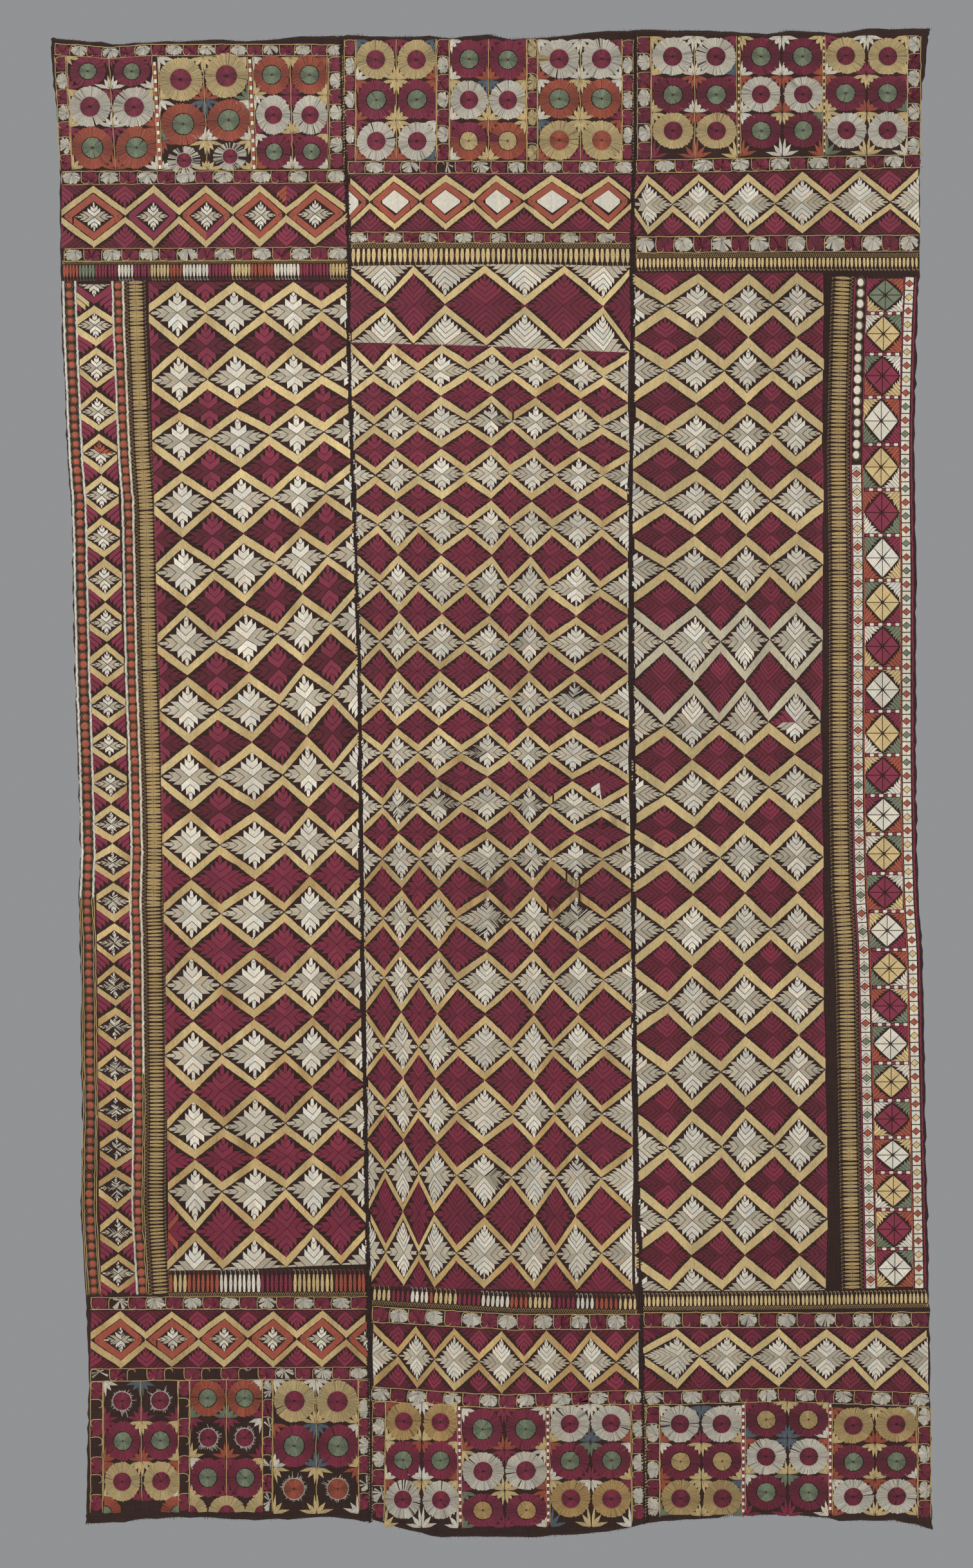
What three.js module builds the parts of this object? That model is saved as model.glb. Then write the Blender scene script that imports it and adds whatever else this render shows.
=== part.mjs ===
// Phulkari wall hanging: three hand-loom lengths of dark cotton, joined edge to edge by two
// upright seams and hung from the top edge. Millimetres, +Z up, the worked face towards -Y.
// The origin is the middle of the top edge, in the thickness of the cloth.

import * as THREE from 'three';

// Driving dimensions
const CLOTH_THICKNESS = 1.4;
const DROP = 2310;
const SEAM_GAP = 0.3;

// The top and bottom edges are turned over twice to the back and pressed
const HEM_DEPTH = 13;
const HEM_SLOPE = 5;
const HEM_EXTRA = 1.1;

// The selvedges stand up a little where the whipping thread pulls them together
const SEAM_RIDGE_WIDTH = 9;
const SEAM_RIDGE_HEIGHT = 0.8;

// Grid of each length of cloth, across and down
const COLUMN_PITCH = 42;
const LINE_PITCH = 40;

// Shallow folds of the hanging cloth: depth at the top edge and what the drop adds to it
const FOLD_DEPTH_TOP = 1.6;
const FOLD_DEPTH_ADDED = 5.4;
const FOLDS = [
  { share: 0.55, width: 520, shift: 0.7, lean: 0.5 },
  { share: 0.30, width: 290, shift: 1.9, lean: -0.9 },
  { share: 0.15, width: 173, shift: 0.4, lean: 1.6 },
];

// Long waves down the drop, and the pull of each seam, which draws the cloth back in puckers
const WAVE = { depth: 0.9, height: 640, lean: 410 };
const PUCKER = { depth: 1.7, reach: 34, height: 190, share: 0.45 };

// Upright edges, from the top down: z of a station and x of each edge there
const OUTER_LEFT = [
  { z: -6, x: -685 }, { z: -46, x: -683 }, { z: -142, x: -673 }, { z: -190, x: -670 },
  { z: -349, x: -670 }, { z: -462, x: -667 }, { z: -653, x: -659 }, { z: -730, x: -653 },
  { z: -977, x: -648 }, { z: -1145, x: -642 }, { z: -1278, x: -639 }, { z: -1337, x: -642 },
  { z: -1410, x: -639 }, { z: -1692, x: -636 }, { z: -1827, x: -638 }, { z: -1962, x: -630 },
  { z: -2076, x: -625 }, { z: -2151, x: -627 }, { z: -2315, x: -630 },
];
const SEAM_LEFT = [
  { z: 0, x: -235 }, { z: -97, x: -232 }, { z: -314, x: -222 }, { z: -429, x: -223 },
  { z: -537, x: -221 }, { z: -806, x: -211 }, { z: -1023, x: -205 }, { z: -1252, x: -203 },
  { z: -1469, x: -200 }, { z: -1686, x: -196 }, { z: -1897, x: -192 }, { z: -2319, x: -188 },
];
const SEAM_RIGHT = [
  { z: 5, x: 224 }, { z: -197, x: 221 }, { z: -347, x: 218 }, { z: -567, x: 220 },
  { z: -697, x: 215 }, { z: -827, x: 217 }, { z: -1207, x: 221 }, { z: -1327, x: 219 },
  { z: -1627, x: 223 }, { z: -1847, x: 228 }, { z: -1987, x: 232 }, { z: -2319, x: 240 },
];
const OUTER_RIGHT = [
  { z: 9, x: 682 }, { z: -31, x: 676 }, { z: -127, x: 666 }, { z: -387, x: 665 },
  { z: -437, x: 662 }, { z: -634, x: 657 }, { z: -827, x: 660 }, { z: -1146, x: 660 },
  { z: -1327, x: 663 }, { z: -1435, x: 670 }, { z: -1753, x: 676 }, { z: -1950, x: 680 },
  { z: -2325, x: 685 },
];

// Level edges of the three lengths, from left to right
const TOP_EDGE = [
  { x: -685, z: -6 }, { x: -604, z: -13 }, { x: -587, z: -17 }, { x: -553, z: -13 },
  { x: -429, z: -9 }, { x: -373, z: -11 }, { x: -291, z: -4 }, { x: -205, z: -1 },
  { x: -183, z: -5 }, { x: -124, z: -3 }, { x: -60, z: -6 }, { x: 0, z: 0 },
  { x: 22, z: -7 }, { x: 62, z: -6 }, { x: 123, z: -1 }, { x: 185, z: 5 },
  { x: 244, z: 7 }, { x: 356, z: 4 }, { x: 432, z: -1 }, { x: 456, z: 6 },
  { x: 531, z: 1 }, { x: 579, z: 7 }, { x: 682, z: 9 },
];
const BOTTOM_LEFT = [
  { x: -630, z: -2315 }, { x: -541, z: -2308 }, { x: -472, z: -2305 }, { x: -386, z: -2309 },
  { x: -299, z: -2308 }, { x: -265, z: -2303 }, { x: -231, z: -2306 }, { x: -188, z: -2313 },
];
const BOTTOM_CENTRE = [
  { x: -188, z: -2308 }, { x: -153, z: -2318 }, { x: -117, z: -2327 }, { x: -81, z: -2335 },
  { x: -10, z: -2334 }, { x: 62, z: -2337 }, { x: 133, z: -2332 }, { x: 205, z: -2325 },
  { x: 240, z: -2314 },
];
const BOTTOM_RIGHT = [
  { x: 240, z: -2314 }, { x: 285, z: -2309 }, { x: 375, z: -2304 }, { x: 446, z: -2300 },
  { x: 482, z: -2302 }, { x: 553, z: -2310 }, { x: 625, z: -2311 }, { x: 660, z: -2318 },
  { x: 685, z: -2325 },
];

const LENGTHS = [
  { name: 'panel_left', left: OUTER_LEFT, right: SEAM_LEFT, bottom: BOTTOM_LEFT, seams: [1] },
  { name: 'panel_centre', left: SEAM_LEFT, right: SEAM_RIGHT, bottom: BOTTOM_CENTRE, seams: [0, 1] },
  { name: 'panel_right', left: SEAM_RIGHT, right: OUTER_RIGHT, bottom: BOTTOM_RIGHT, seams: [0] },
];

const khaddar = new THREE.MeshStandardMaterial({ color: '#2e2224', roughness: 0.93, metalness: 0 });

// Value of a table's column `want` where its column `by` has the value `at`, on straight runs
function readTable(table, by, want, at) {
  const rising = table[table.length - 1][by] > table[0][by];
  const reached = table.findIndex((row) => (rising ? row[by] >= at : row[by] <= at));
  if (reached === 0) return table[0][want];
  if (reached === -1) return table[table.length - 1][want];
  const before = table[reached - 1];
  const after = table[reached];
  const share = (at - before[by]) / (after[by] - before[by]);
  return before[want] + share * (after[want] - before[want]);
}

// How far a seam pulls the cloth back at a point
function pucker(seam, x, z) {
  const away = (x - readTable(seam, 'z', 'x', z)) / PUCKER.reach;
  const gathered = 1 + PUCKER.share * Math.cos((2 * Math.PI * z) / PUCKER.height);
  return PUCKER.depth * gathered * Math.exp(-away * away);
}

// Height of the cloth's middle layer towards the viewer
function swell(x, z) {
  const fallen = -z / DROP;
  const depth = FOLD_DEPTH_TOP + FOLD_DEPTH_ADDED * fallen;
  const folds = FOLDS.reduce((sum, fold) => {
    const turn = (2 * Math.PI * x) / fold.width + fold.shift + fold.lean * fallen;
    return sum + fold.share * Math.cos(turn);
  }, 0);
  const wave = WAVE.depth * Math.sin((2 * Math.PI * z) / WAVE.height + x / WAVE.lean);
  return depth * folds + wave - pucker(SEAM_LEFT, x, z) - pucker(SEAM_RIGHT, x, z);
}

// 1 on the pressed hem, falling to 0 over its slope
function hemShare(fromEdge) {
  return THREE.MathUtils.clamp((HEM_DEPTH + HEM_SLOPE - fromEdge) / HEM_SLOPE, 0, 1);
}

// Shares of a span: the two ends, their near stations, and even steps between
function stations(span, near, pitch) {
  const inner = span - 2 * near[near.length - 1];
  const steps = Math.round(inner / pitch);
  const first = near.map((distance) => distance / span);
  const last = near.map((distance) => 1 - distance / span).reverse();
  const start = near[near.length - 1] / span;
  const between = Array.from({ length: steps - 1 }, (_, step) => start + ((step + 1) * inner) / steps / span);
  return [...first, ...between, ...last];
}

// Points of the front and the back of one length, line by line from the top down
function surfacePoints(cloth) {
  const down = stations(DROP, [0, HEM_DEPTH, HEM_DEPTH + HEM_SLOPE], LINE_PITCH);
  const width = readTable(cloth.right, 'z', 'x', -DROP / 2) - readTable(cloth.left, 'z', 'x', -DROP / 2);
  const across = stations(width, [0, SEAM_RIDGE_WIDTH], COLUMN_PITCH);
  const front = [];
  const back = [];
  for (const fallen of down) {
    for (const share of across) {
      const level = -DROP * fallen;
      const leftX = readTable(cloth.left, 'z', 'x', level) + SEAM_GAP / 2;
      const rightX = readTable(cloth.right, 'z', 'x', level) - SEAM_GAP / 2;
      const x = THREE.MathUtils.lerp(leftX, rightX, share);
      const topZ = readTable(TOP_EDGE, 'x', 'z', x);
      const z = THREE.MathUtils.lerp(topZ, readTable(cloth.bottom, 'x', 'z', x), fallen);
      const hem = HEM_EXTRA * hemShare(DROP * Math.min(fallen, 1 - fallen));
      const ridge = cloth.seams.includes(share) ? SEAM_RIDGE_HEIGHT : 0;
      const middle = swell(x, z);
      front.push([x, -(middle + CLOTH_THICKNESS / 2 + ridge), z]);
      back.push([x, -(middle - CLOTH_THICKNESS / 2 - hem), z]);
    }
  }
  return { points: [...front, ...back], columns: across.length, lines: down.length };
}

// A closed sheet: the front grid, the back grid turned round, and a strip of wall on each side
function sheetGeometry(cloth) {
  const { points, columns, lines } = surfacePoints(cloth);
  const backStart = columns * lines;
  const triangles = [];
  const addQuad = (a, b, c, d) => triangles.push(a, b, c, a, c, d);
  for (let line = 0; line < lines - 1; line += 1) {
    for (let column = 0; column < columns - 1; column += 1) {
      const corner = line * columns + column;
      const below = corner + columns;
      addQuad(corner, below, below + 1, corner + 1);
      addQuad(backStart + corner, backStart + corner + 1, backStart + below + 1, backStart + below);
    }
    const leftSide = line * columns;
    const rightSide = leftSide + columns - 1;
    addQuad(leftSide, backStart + leftSide, backStart + leftSide + columns, leftSide + columns);
    addQuad(rightSide, rightSide + columns, backStart + rightSide + columns, backStart + rightSide);
  }
  const lastLine = (lines - 1) * columns;
  for (let column = 0; column < columns - 1; column += 1) {
    const foot = lastLine + column;
    addQuad(column, column + 1, backStart + column + 1, backStart + column);
    addQuad(foot, backStart + foot, backStart + foot + 1, foot + 1);
  }
  const geometry = new THREE.BufferGeometry();
  geometry.setAttribute('position', new THREE.Float32BufferAttribute(points.flat(), 3));
  geometry.setIndex(triangles);
  geometry.computeVertexNormals();
  return geometry;
}

const hanging = new THREE.Group();
for (const cloth of LENGTHS) {
  const length = new THREE.Mesh(sheetGeometry(cloth), khaddar);
  length.name = cloth.name;
  hanging.add(length);
}

export default hanging;
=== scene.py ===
"""Phulkari wall hanging: three joined lengths of dark hand-loom cotton, worked all over in silk floss.

Patterns are laid out in chart millimetres, which run right and down from a corner up and to the left
of the cloth. The cloth's own millimetres start at the middle of its top edge, x right and z up.
"""
import logging
import math
from dataclasses import dataclass
from enum import Enum
from itertools import product
from typing import Callable, Sequence

import bmesh
import bpy
import numpy as np
from bpy.types import ID, Material, Mesh, Node, NodeSocket, NodeTree, Object
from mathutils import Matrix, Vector


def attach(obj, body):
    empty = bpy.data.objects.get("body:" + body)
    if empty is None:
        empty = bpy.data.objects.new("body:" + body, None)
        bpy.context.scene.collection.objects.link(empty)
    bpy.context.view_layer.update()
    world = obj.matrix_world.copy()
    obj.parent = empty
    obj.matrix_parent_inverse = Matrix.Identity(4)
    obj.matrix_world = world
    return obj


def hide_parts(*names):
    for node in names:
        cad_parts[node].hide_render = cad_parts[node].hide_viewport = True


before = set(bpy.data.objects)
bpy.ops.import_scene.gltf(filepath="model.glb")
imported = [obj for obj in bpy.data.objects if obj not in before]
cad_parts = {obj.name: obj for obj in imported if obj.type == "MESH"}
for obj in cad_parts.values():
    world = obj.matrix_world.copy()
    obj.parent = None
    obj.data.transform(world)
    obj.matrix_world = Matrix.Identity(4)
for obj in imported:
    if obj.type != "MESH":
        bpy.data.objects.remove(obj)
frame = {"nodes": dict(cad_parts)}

LOG = logging.getLogger("phulkari")
MM = 0.001
CHART_ORIGIN = (764.0, 53.0)
BODY = "root"
THREAD_MAP = "thread"
DYE_LAYER = "dye"

# A height on the chart that nothing reaches
OFF_THE_CLOTH = 3000.0

# Width of one bundle of upright threads, the share of it that is sewn on each side of its middle, and the
# length of a band that one skein fills
BUNDLE = 2.9
OVERLAP = 0.55
SKEIN_RUN = 18.0

Point = tuple[float, float]


class Dye(Enum):
    """Colours of the threads in soft light, as red, green and blue out of 255."""

    GOLD = (205, 180, 127)
    OLD_GOLD = (184, 156, 103)
    AMBER = (180, 146, 92)
    WHITE = (218, 210, 192)
    # The white of the level arms, painted darker than the upright white: painted shade for the silk's sheen,
    # which is duller where the threads run level
    WHITE_PAINTED_SHADE = (182, 171, 149)
    CREAM = (202, 190, 160)
    MAGENTA = (128, 40, 62)
    # The magenta of the level arms, painted darker than the upright magenta: painted shade for the silk's
    # sheen, which is duller where the threads run level
    MAROON_PAINTED_SHADE = (86, 20, 34)
    WINE = (114, 31, 52)
    ORANGE = (159, 78, 56)
    BLUE = (88, 99, 107)
    GREEN = (112, 121, 97)
    SOOT = (76, 56, 48)
    GROUND = (52, 34, 31)


class Lay(Enum):
    """How the threads of a stitch run: narrowing with it, straight along it, or side by side across it."""

    TAPERED = 0
    ALONG = 1
    ACROSS = 2


def linear(dye: Dye, shade: float = 1.0) -> tuple[float, float, float]:
    """Turns a dye into linear colour.

    Args:
        dye: the thread's colour.
        shade: a factor on its brightness.

    Returns:
        Linear red, green and blue.
    """
    parts = [channel / 255.0 for channel in dye.value]
    bent = [c / 12.92 if c <= 0.04045 else ((c + 0.055) / 1.055) ** 2.4 for c in parts]
    return tuple(min(1.0, c * shade) for c in bent)


@dataclass(frozen=True)
class Fold:
    """One family of shallow upright folds."""

    share: float
    width: float
    shift: float
    lean: float


@dataclass(frozen=True)
class Edge:
    """An edge of the cloth as stations along it and the place of the edge at each, in cloth millimetres."""

    along: tuple[float, ...]
    place: tuple[float, ...]

    def at(self, where: np.ndarray) -> np.ndarray:
        """Place of the edge at the stations asked for."""
        return np.interp(where, self.along, self.place)


# Upright edges: distance below the top edge's middle, and x there
OUTER_LEFT = Edge(
    (6, 46, 142, 190, 349, 462, 653, 730, 977, 1145, 1278, 1337, 1410, 1692, 1827, 1962, 2076, 2151, 2315),
    (-685, -683, -673, -670, -670, -667, -659, -653, -648, -642, -639, -642, -639, -636, -638, -630, -625,
     -627, -630),
)
SEAM_LEFT = Edge(
    (0, 97, 314, 429, 537, 806, 1023, 1252, 1469, 1686, 1897, 2319),
    (-235, -232, -222, -223, -221, -211, -205, -203, -200, -196, -192, -188),
)
SEAM_RIGHT = Edge(
    (-5, 197, 347, 567, 697, 827, 1207, 1327, 1627, 1847, 1987, 2319),
    (224, 221, 218, 220, 215, 217, 221, 219, 223, 228, 232, 240),
)
OUTER_RIGHT = Edge(
    (-9, 31, 127, 387, 437, 634, 827, 1146, 1327, 1435, 1753, 1950, 2325),
    (682, 676, 666, 665, 662, 657, 660, 660, 663, 670, 676, 680, 685),
)

# Level edges: x, and z there
TOP_EDGE = Edge(
    (-685, -604, -587, -553, -429, -373, -291, -205, -183, -124, -60, 0, 22, 62, 123, 185, 244, 356, 432,
     456, 531, 579, 682),
    (-6, -13, -17, -13, -9, -11, -4, -1, -5, -3, -6, 0, -7, -6, -1, 5, 7, 4, -1, 6, 1, 7, 9),
)
BOTTOM_LEFT = Edge(
    (-630, -541, -472, -386, -299, -265, -231, -188),
    (-2315, -2308, -2305, -2309, -2308, -2303, -2306, -2313),
)
BOTTOM_CENTRE = Edge(
    (-188, -153, -117, -81, -10, 62, 133, 205, 240),
    (-2308, -2318, -2327, -2335, -2334, -2337, -2332, -2325, -2314),
)
BOTTOM_RIGHT = Edge(
    (240, 285, 375, 446, 482, 553, 625, 660, 685),
    (-2314, -2309, -2304, -2300, -2302, -2310, -2311, -2318, -2325),
)


@dataclass(frozen=True)
class HangingShape:
    """The way the joined cloth hangs: shallow folds that deepen downwards, and puckers at the seams."""

    drop: float = 2310.0
    cloth: float = 1.0
    hem_depth: float = 13.0
    hem_slope: float = 5.0
    hem_extra: float = 1.1
    seam_gap: float = 0.02
    depth_top: float = 1.6
    depth_added: float = 5.4
    folds: tuple[Fold, ...] = (
        Fold(0.55, 520, 0.7, 0.5), Fold(0.30, 290, 1.9, -0.9), Fold(0.15, 173, 0.4, 1.6),
    )
    wave_depth: float = 0.9
    wave_height: float = 640.0
    wave_lean: float = 410.0
    pucker_depth: float = 1.7
    pucker_reach: float = 34.0
    pucker_height: float = 190.0
    pucker_share: float = 0.45

    def pucker(self, seam: Edge, x: np.ndarray, z: np.ndarray) -> np.ndarray:
        """How far a seam pulls the cloth back at each point."""
        away = (x - seam.at(-z)) / self.pucker_reach
        gathered = 1 + self.pucker_share * np.cos(2 * np.pi * z / self.pucker_height)
        return self.pucker_depth * gathered * np.exp(-away * away)

    def swell(self, x: np.ndarray, z: np.ndarray) -> np.ndarray:
        """Height of the cloth's middle layer towards the viewer at each point."""
        fallen = -z / self.drop
        turns = sum(
            fold.share * np.cos(2 * np.pi * x / fold.width + fold.shift + fold.lean * fallen)
            for fold in self.folds
        )
        wave = self.wave_depth * np.sin(2 * np.pi * z / self.wave_height + x / self.wave_lean)
        depth = self.depth_top + self.depth_added * fallen
        return depth * turns + wave - self.pucker(SEAM_LEFT, x, z) - self.pucker(SEAM_RIGHT, x, z)

    def lay(self, x: np.ndarray, z: np.ndarray, lift: np.ndarray) -> np.ndarray:
        """Lays flat points on the hanging cloth.

        Args:
            x: millimetres to the right.
            z: millimetres up.
            lift: millimetres off the middle layer, towards the viewer.

        Returns:
            Points in metres, one row each.
        """
        return np.stack((x, -(self.swell(x, z) + lift), z), axis=-1) * MM


HANG = HangingShape()


@dataclass(frozen=True)
class Length:
    """One length of hand-loom cotton."""

    name: str
    left: Edge
    right: Edge
    bottom: Edge
    seams: tuple[bool, bool]


LENGTHS = (
    Length("left", OUTER_LEFT, SEAM_LEFT, BOTTOM_LEFT, (False, True)),
    Length("centre", SEAM_LEFT, SEAM_RIGHT, BOTTOM_CENTRE, (True, True)),
    Length("right", SEAM_RIGHT, OUTER_RIGHT, BOTTOM_RIGHT, (True, False)),
)


@dataclass(frozen=True)
class Wear:
    """A rubbed or soiled patch, in chart millimetres."""

    x: float
    y: float
    across: float
    down: float
    strength: float

    def at(self, x: float, y: float) -> float:
        """Wear at a point, from 0 to the patch's strength."""
        reach = ((x - self.x) / self.across) ** 2 + ((y - self.y) / self.down) ** 2
        return self.strength * math.exp(-reach)


# Patches where all the silk is worn, and patches where only the pale silk is
WORN = (
    Wear(765, 1400, 34, 60, 0.45), Wear(895, 1395, 18, 60, 0.7), Wear(860, 1412, 14, 16, 0.8),
    Wear(690, 1235, 26, 20, 0.5), Wear(615, 1256, 30, 12, 0.55), Wear(825, 1250, 36, 14, 0.5),
    Wear(770, 650, 26, 14, 0.5), Wear(745, 1170, 26, 12, 0.45),
    Wear(830, 1340, 40, 20, 0.35),
    Wear(890, 1080, 12, 24, 0.5), Wear(900, 1815, 12, 18, 0.5), Wear(770, 1835, 26, 10, 0.6),
    Wear(200, 2140, 70, 16, 0.5), Wear(350, 2236, 46, 26, 0.4), Wear(200, 2180, 42, 24, 0.4),
    Wear(820, 2115, 14, 22, 0.4), Wear(720, 2160, 16, 16, 0.5), Wear(1390, 1500, 16, 26, 0.25),
    Wear(955, 1280, 24, 14, 0.5), Wear(1005, 1320, 20, 14, 0.3), Wear(330, 236, 60, 20, 0.45),
    Wear(600, 2320, 40, 24, 0.3), Wear(480, 2316, 50, 24, 0.35), Wear(655, 1495, 40, 12, 0.2),
)
LOST = (
    Wear(215, 2195, 92, 62, 3.0), Wear(345, 2225, 58, 44, 3.0), Wear(490, 2320, 66, 26, 3.0),
    Wear(285, 2136, 150, 14, 1.3), Wear(150, 2260, 16, 90, 3.0), Wear(286, 2270, 12, 80, 3.0),
    Wear(275, 103, 20, 16, 0.5), Wear(300, 238, 50, 18, 0.7), Wear(700, 255, 60, 12, 0.8),
    Wear(414, 2250, 12, 80, 0.9), Wear(172, 1700, 34, 400, 0.8),
)


def wear_at(x: float, y: float, pale: bool = False) -> float:
    """The strongest wear of any patch at a chart point, with what only the pale silk has lost."""
    patches = WORN + LOST if pale else WORN
    return min(0.97, max(patch.at(x, y) for patch in patches))


@dataclass(frozen=True)
class Swap:
    """An oblong of the chart where the maker took another dye for one of the usual ones."""

    left: float
    top: float
    right: float
    foot: float
    usual: Dye
    taken: Dye


SWAPS = (
    Swap(118, 440, 177, 472, Dye.GOLD, Dye.MAGENTA), Swap(118, 452, 145, 474, Dye.MAGENTA, Dye.GOLD),
    Swap(118, 452, 145, 474, Dye.MAROON_PAINTED_SHADE, Dye.OLD_GOLD), Swap(195, 290, 278, 382, Dye.ORANGE, Dye.MAGENTA),
    Swap(321, 338, 360, 382, Dye.ORANGE, Dye.MAGENTA), Swap(432, 286, 446, 312, Dye.MAGENTA, Dye.ORANGE),
    Swap(900, 1221, 935, 1262, Dye.WINE, Dye.WHITE),
    Swap(1200, 1105, 1238, 1126, Dye.WHITE_PAINTED_SHADE, Dye.MAGENTA),
    Swap(246, 1895, 284, 1935, Dye.MAGENTA, Dye.ORANGE), Swap(150, 684, 180, 708, Dye.WHITE, Dye.ORANGE),
    Swap(150, 684, 180, 704, Dye.WHITE_PAINTED_SHADE, Dye.ORANGE),
    Swap(960, 1092, 984, 1116, Dye.WINE, Dye.GOLD), Swap(817, 60, 838, 250, Dye.WHITE, Dye.GOLD),
    Swap(700, 188, 764, 221, Dye.ORANGE, Dye.MAGENTA), Swap(986, 40, 1460, 258, Dye.MAGENTA, Dye.WINE),
    Swap(986, 366, 1460, 396, Dye.MAGENTA, Dye.WINE), Swap(1000, 2030, 1460, 2400, Dye.MAGENTA, Dye.WINE),
    Swap(232, 1330, 600, 1990, Dye.MAROON_PAINTED_SHADE, Dye.WINE),
)


def swapped(dye: Dye, x: float, y: float) -> Dye:
    """The dye really used at a chart point."""
    for patch in SWAPS:
        if dye is patch.usual and patch.left < x < patch.right and patch.top < y < patch.foot:
            return patch.taken
    return dye


def place_rank(spot: Vector) -> float:
    """A number that grows with z, then with y, then with x."""
    return 1e6 * spot.z + 1e3 * spot.y + spot.x


def settle_order(form: bmesh.types.BMesh) -> None:
    """Puts points and faces in the order of their places, so that each run gives the same mesh."""
    form.verts.sort(key=lambda vert: place_rank(vert.co))
    form.verts.index_update()
    form.faces.sort(key=lambda face: place_rank(face.calc_center_median()))


@dataclass(frozen=True)
class Stamp:
    """A small shape that is laid down many times: its points and its faces."""

    points: np.ndarray
    faces: tuple[tuple[int, ...], ...]

    @staticmethod
    def take(form: bmesh.types.BMesh) -> "Stamp":
        """Reads the points and faces of a finished form, and frees it."""
        settle_order(form)
        points = np.array([vert.co for vert in form.verts])
        faces = tuple(tuple(vert.index for vert in face.verts) for face in form.faces)
        form.free()
        return Stamp(points, faces)


def stitch_stamp() -> Stamp:
    """Makes one stitch: a low block, closed underneath.

    Returns:
        A stamp with x from -1 to 1 across, y 0 at its start and 1 at its end, and z from 0 to 1.
    """
    form = bmesh.new()
    bmesh.ops.create_cube(form, size=1.0)
    bmesh.ops.translate(form, vec=(0.0, 0.5, 0.5), verts=form.verts)
    bmesh.ops.scale(form, vec=(2.0, 1.0, 1.0), verts=form.verts)
    return Stamp.take(form)


def seed_stamp() -> Stamp:
    """Makes one seed: half a ball of unit radius, closed underneath.

    Returns:
        A stamp with its flat side at z 0.
    """
    form = bmesh.new()
    bmesh.ops.create_uvsphere(form, u_segments=10, v_segments=6, radius=1.0)
    everything = form.verts[:] + form.edges[:] + form.faces[:]
    bmesh.ops.bisect_plane(
        form, geom=everything, dist=1e-5, plane_co=(0, 0, 0), plane_no=(0, 0, 1), clear_inner=True
    )
    bmesh.ops.holes_fill(form, edges=form.edges, sides=0)
    bmesh.ops.recalc_face_normals(form, faces=form.faces)
    return Stamp.take(form)


STITCH = stitch_stamp()
SEED = seed_stamp()


@dataclass
class Patch:
    """Arrays of one bunch of small shapes, ready to be joined."""

    x: np.ndarray
    z: np.ndarray
    lift: np.ndarray
    thread: np.ndarray
    dye: np.ndarray
    faces: list[tuple[int, ...]]
    material: int
    smooth: bool = True


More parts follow.
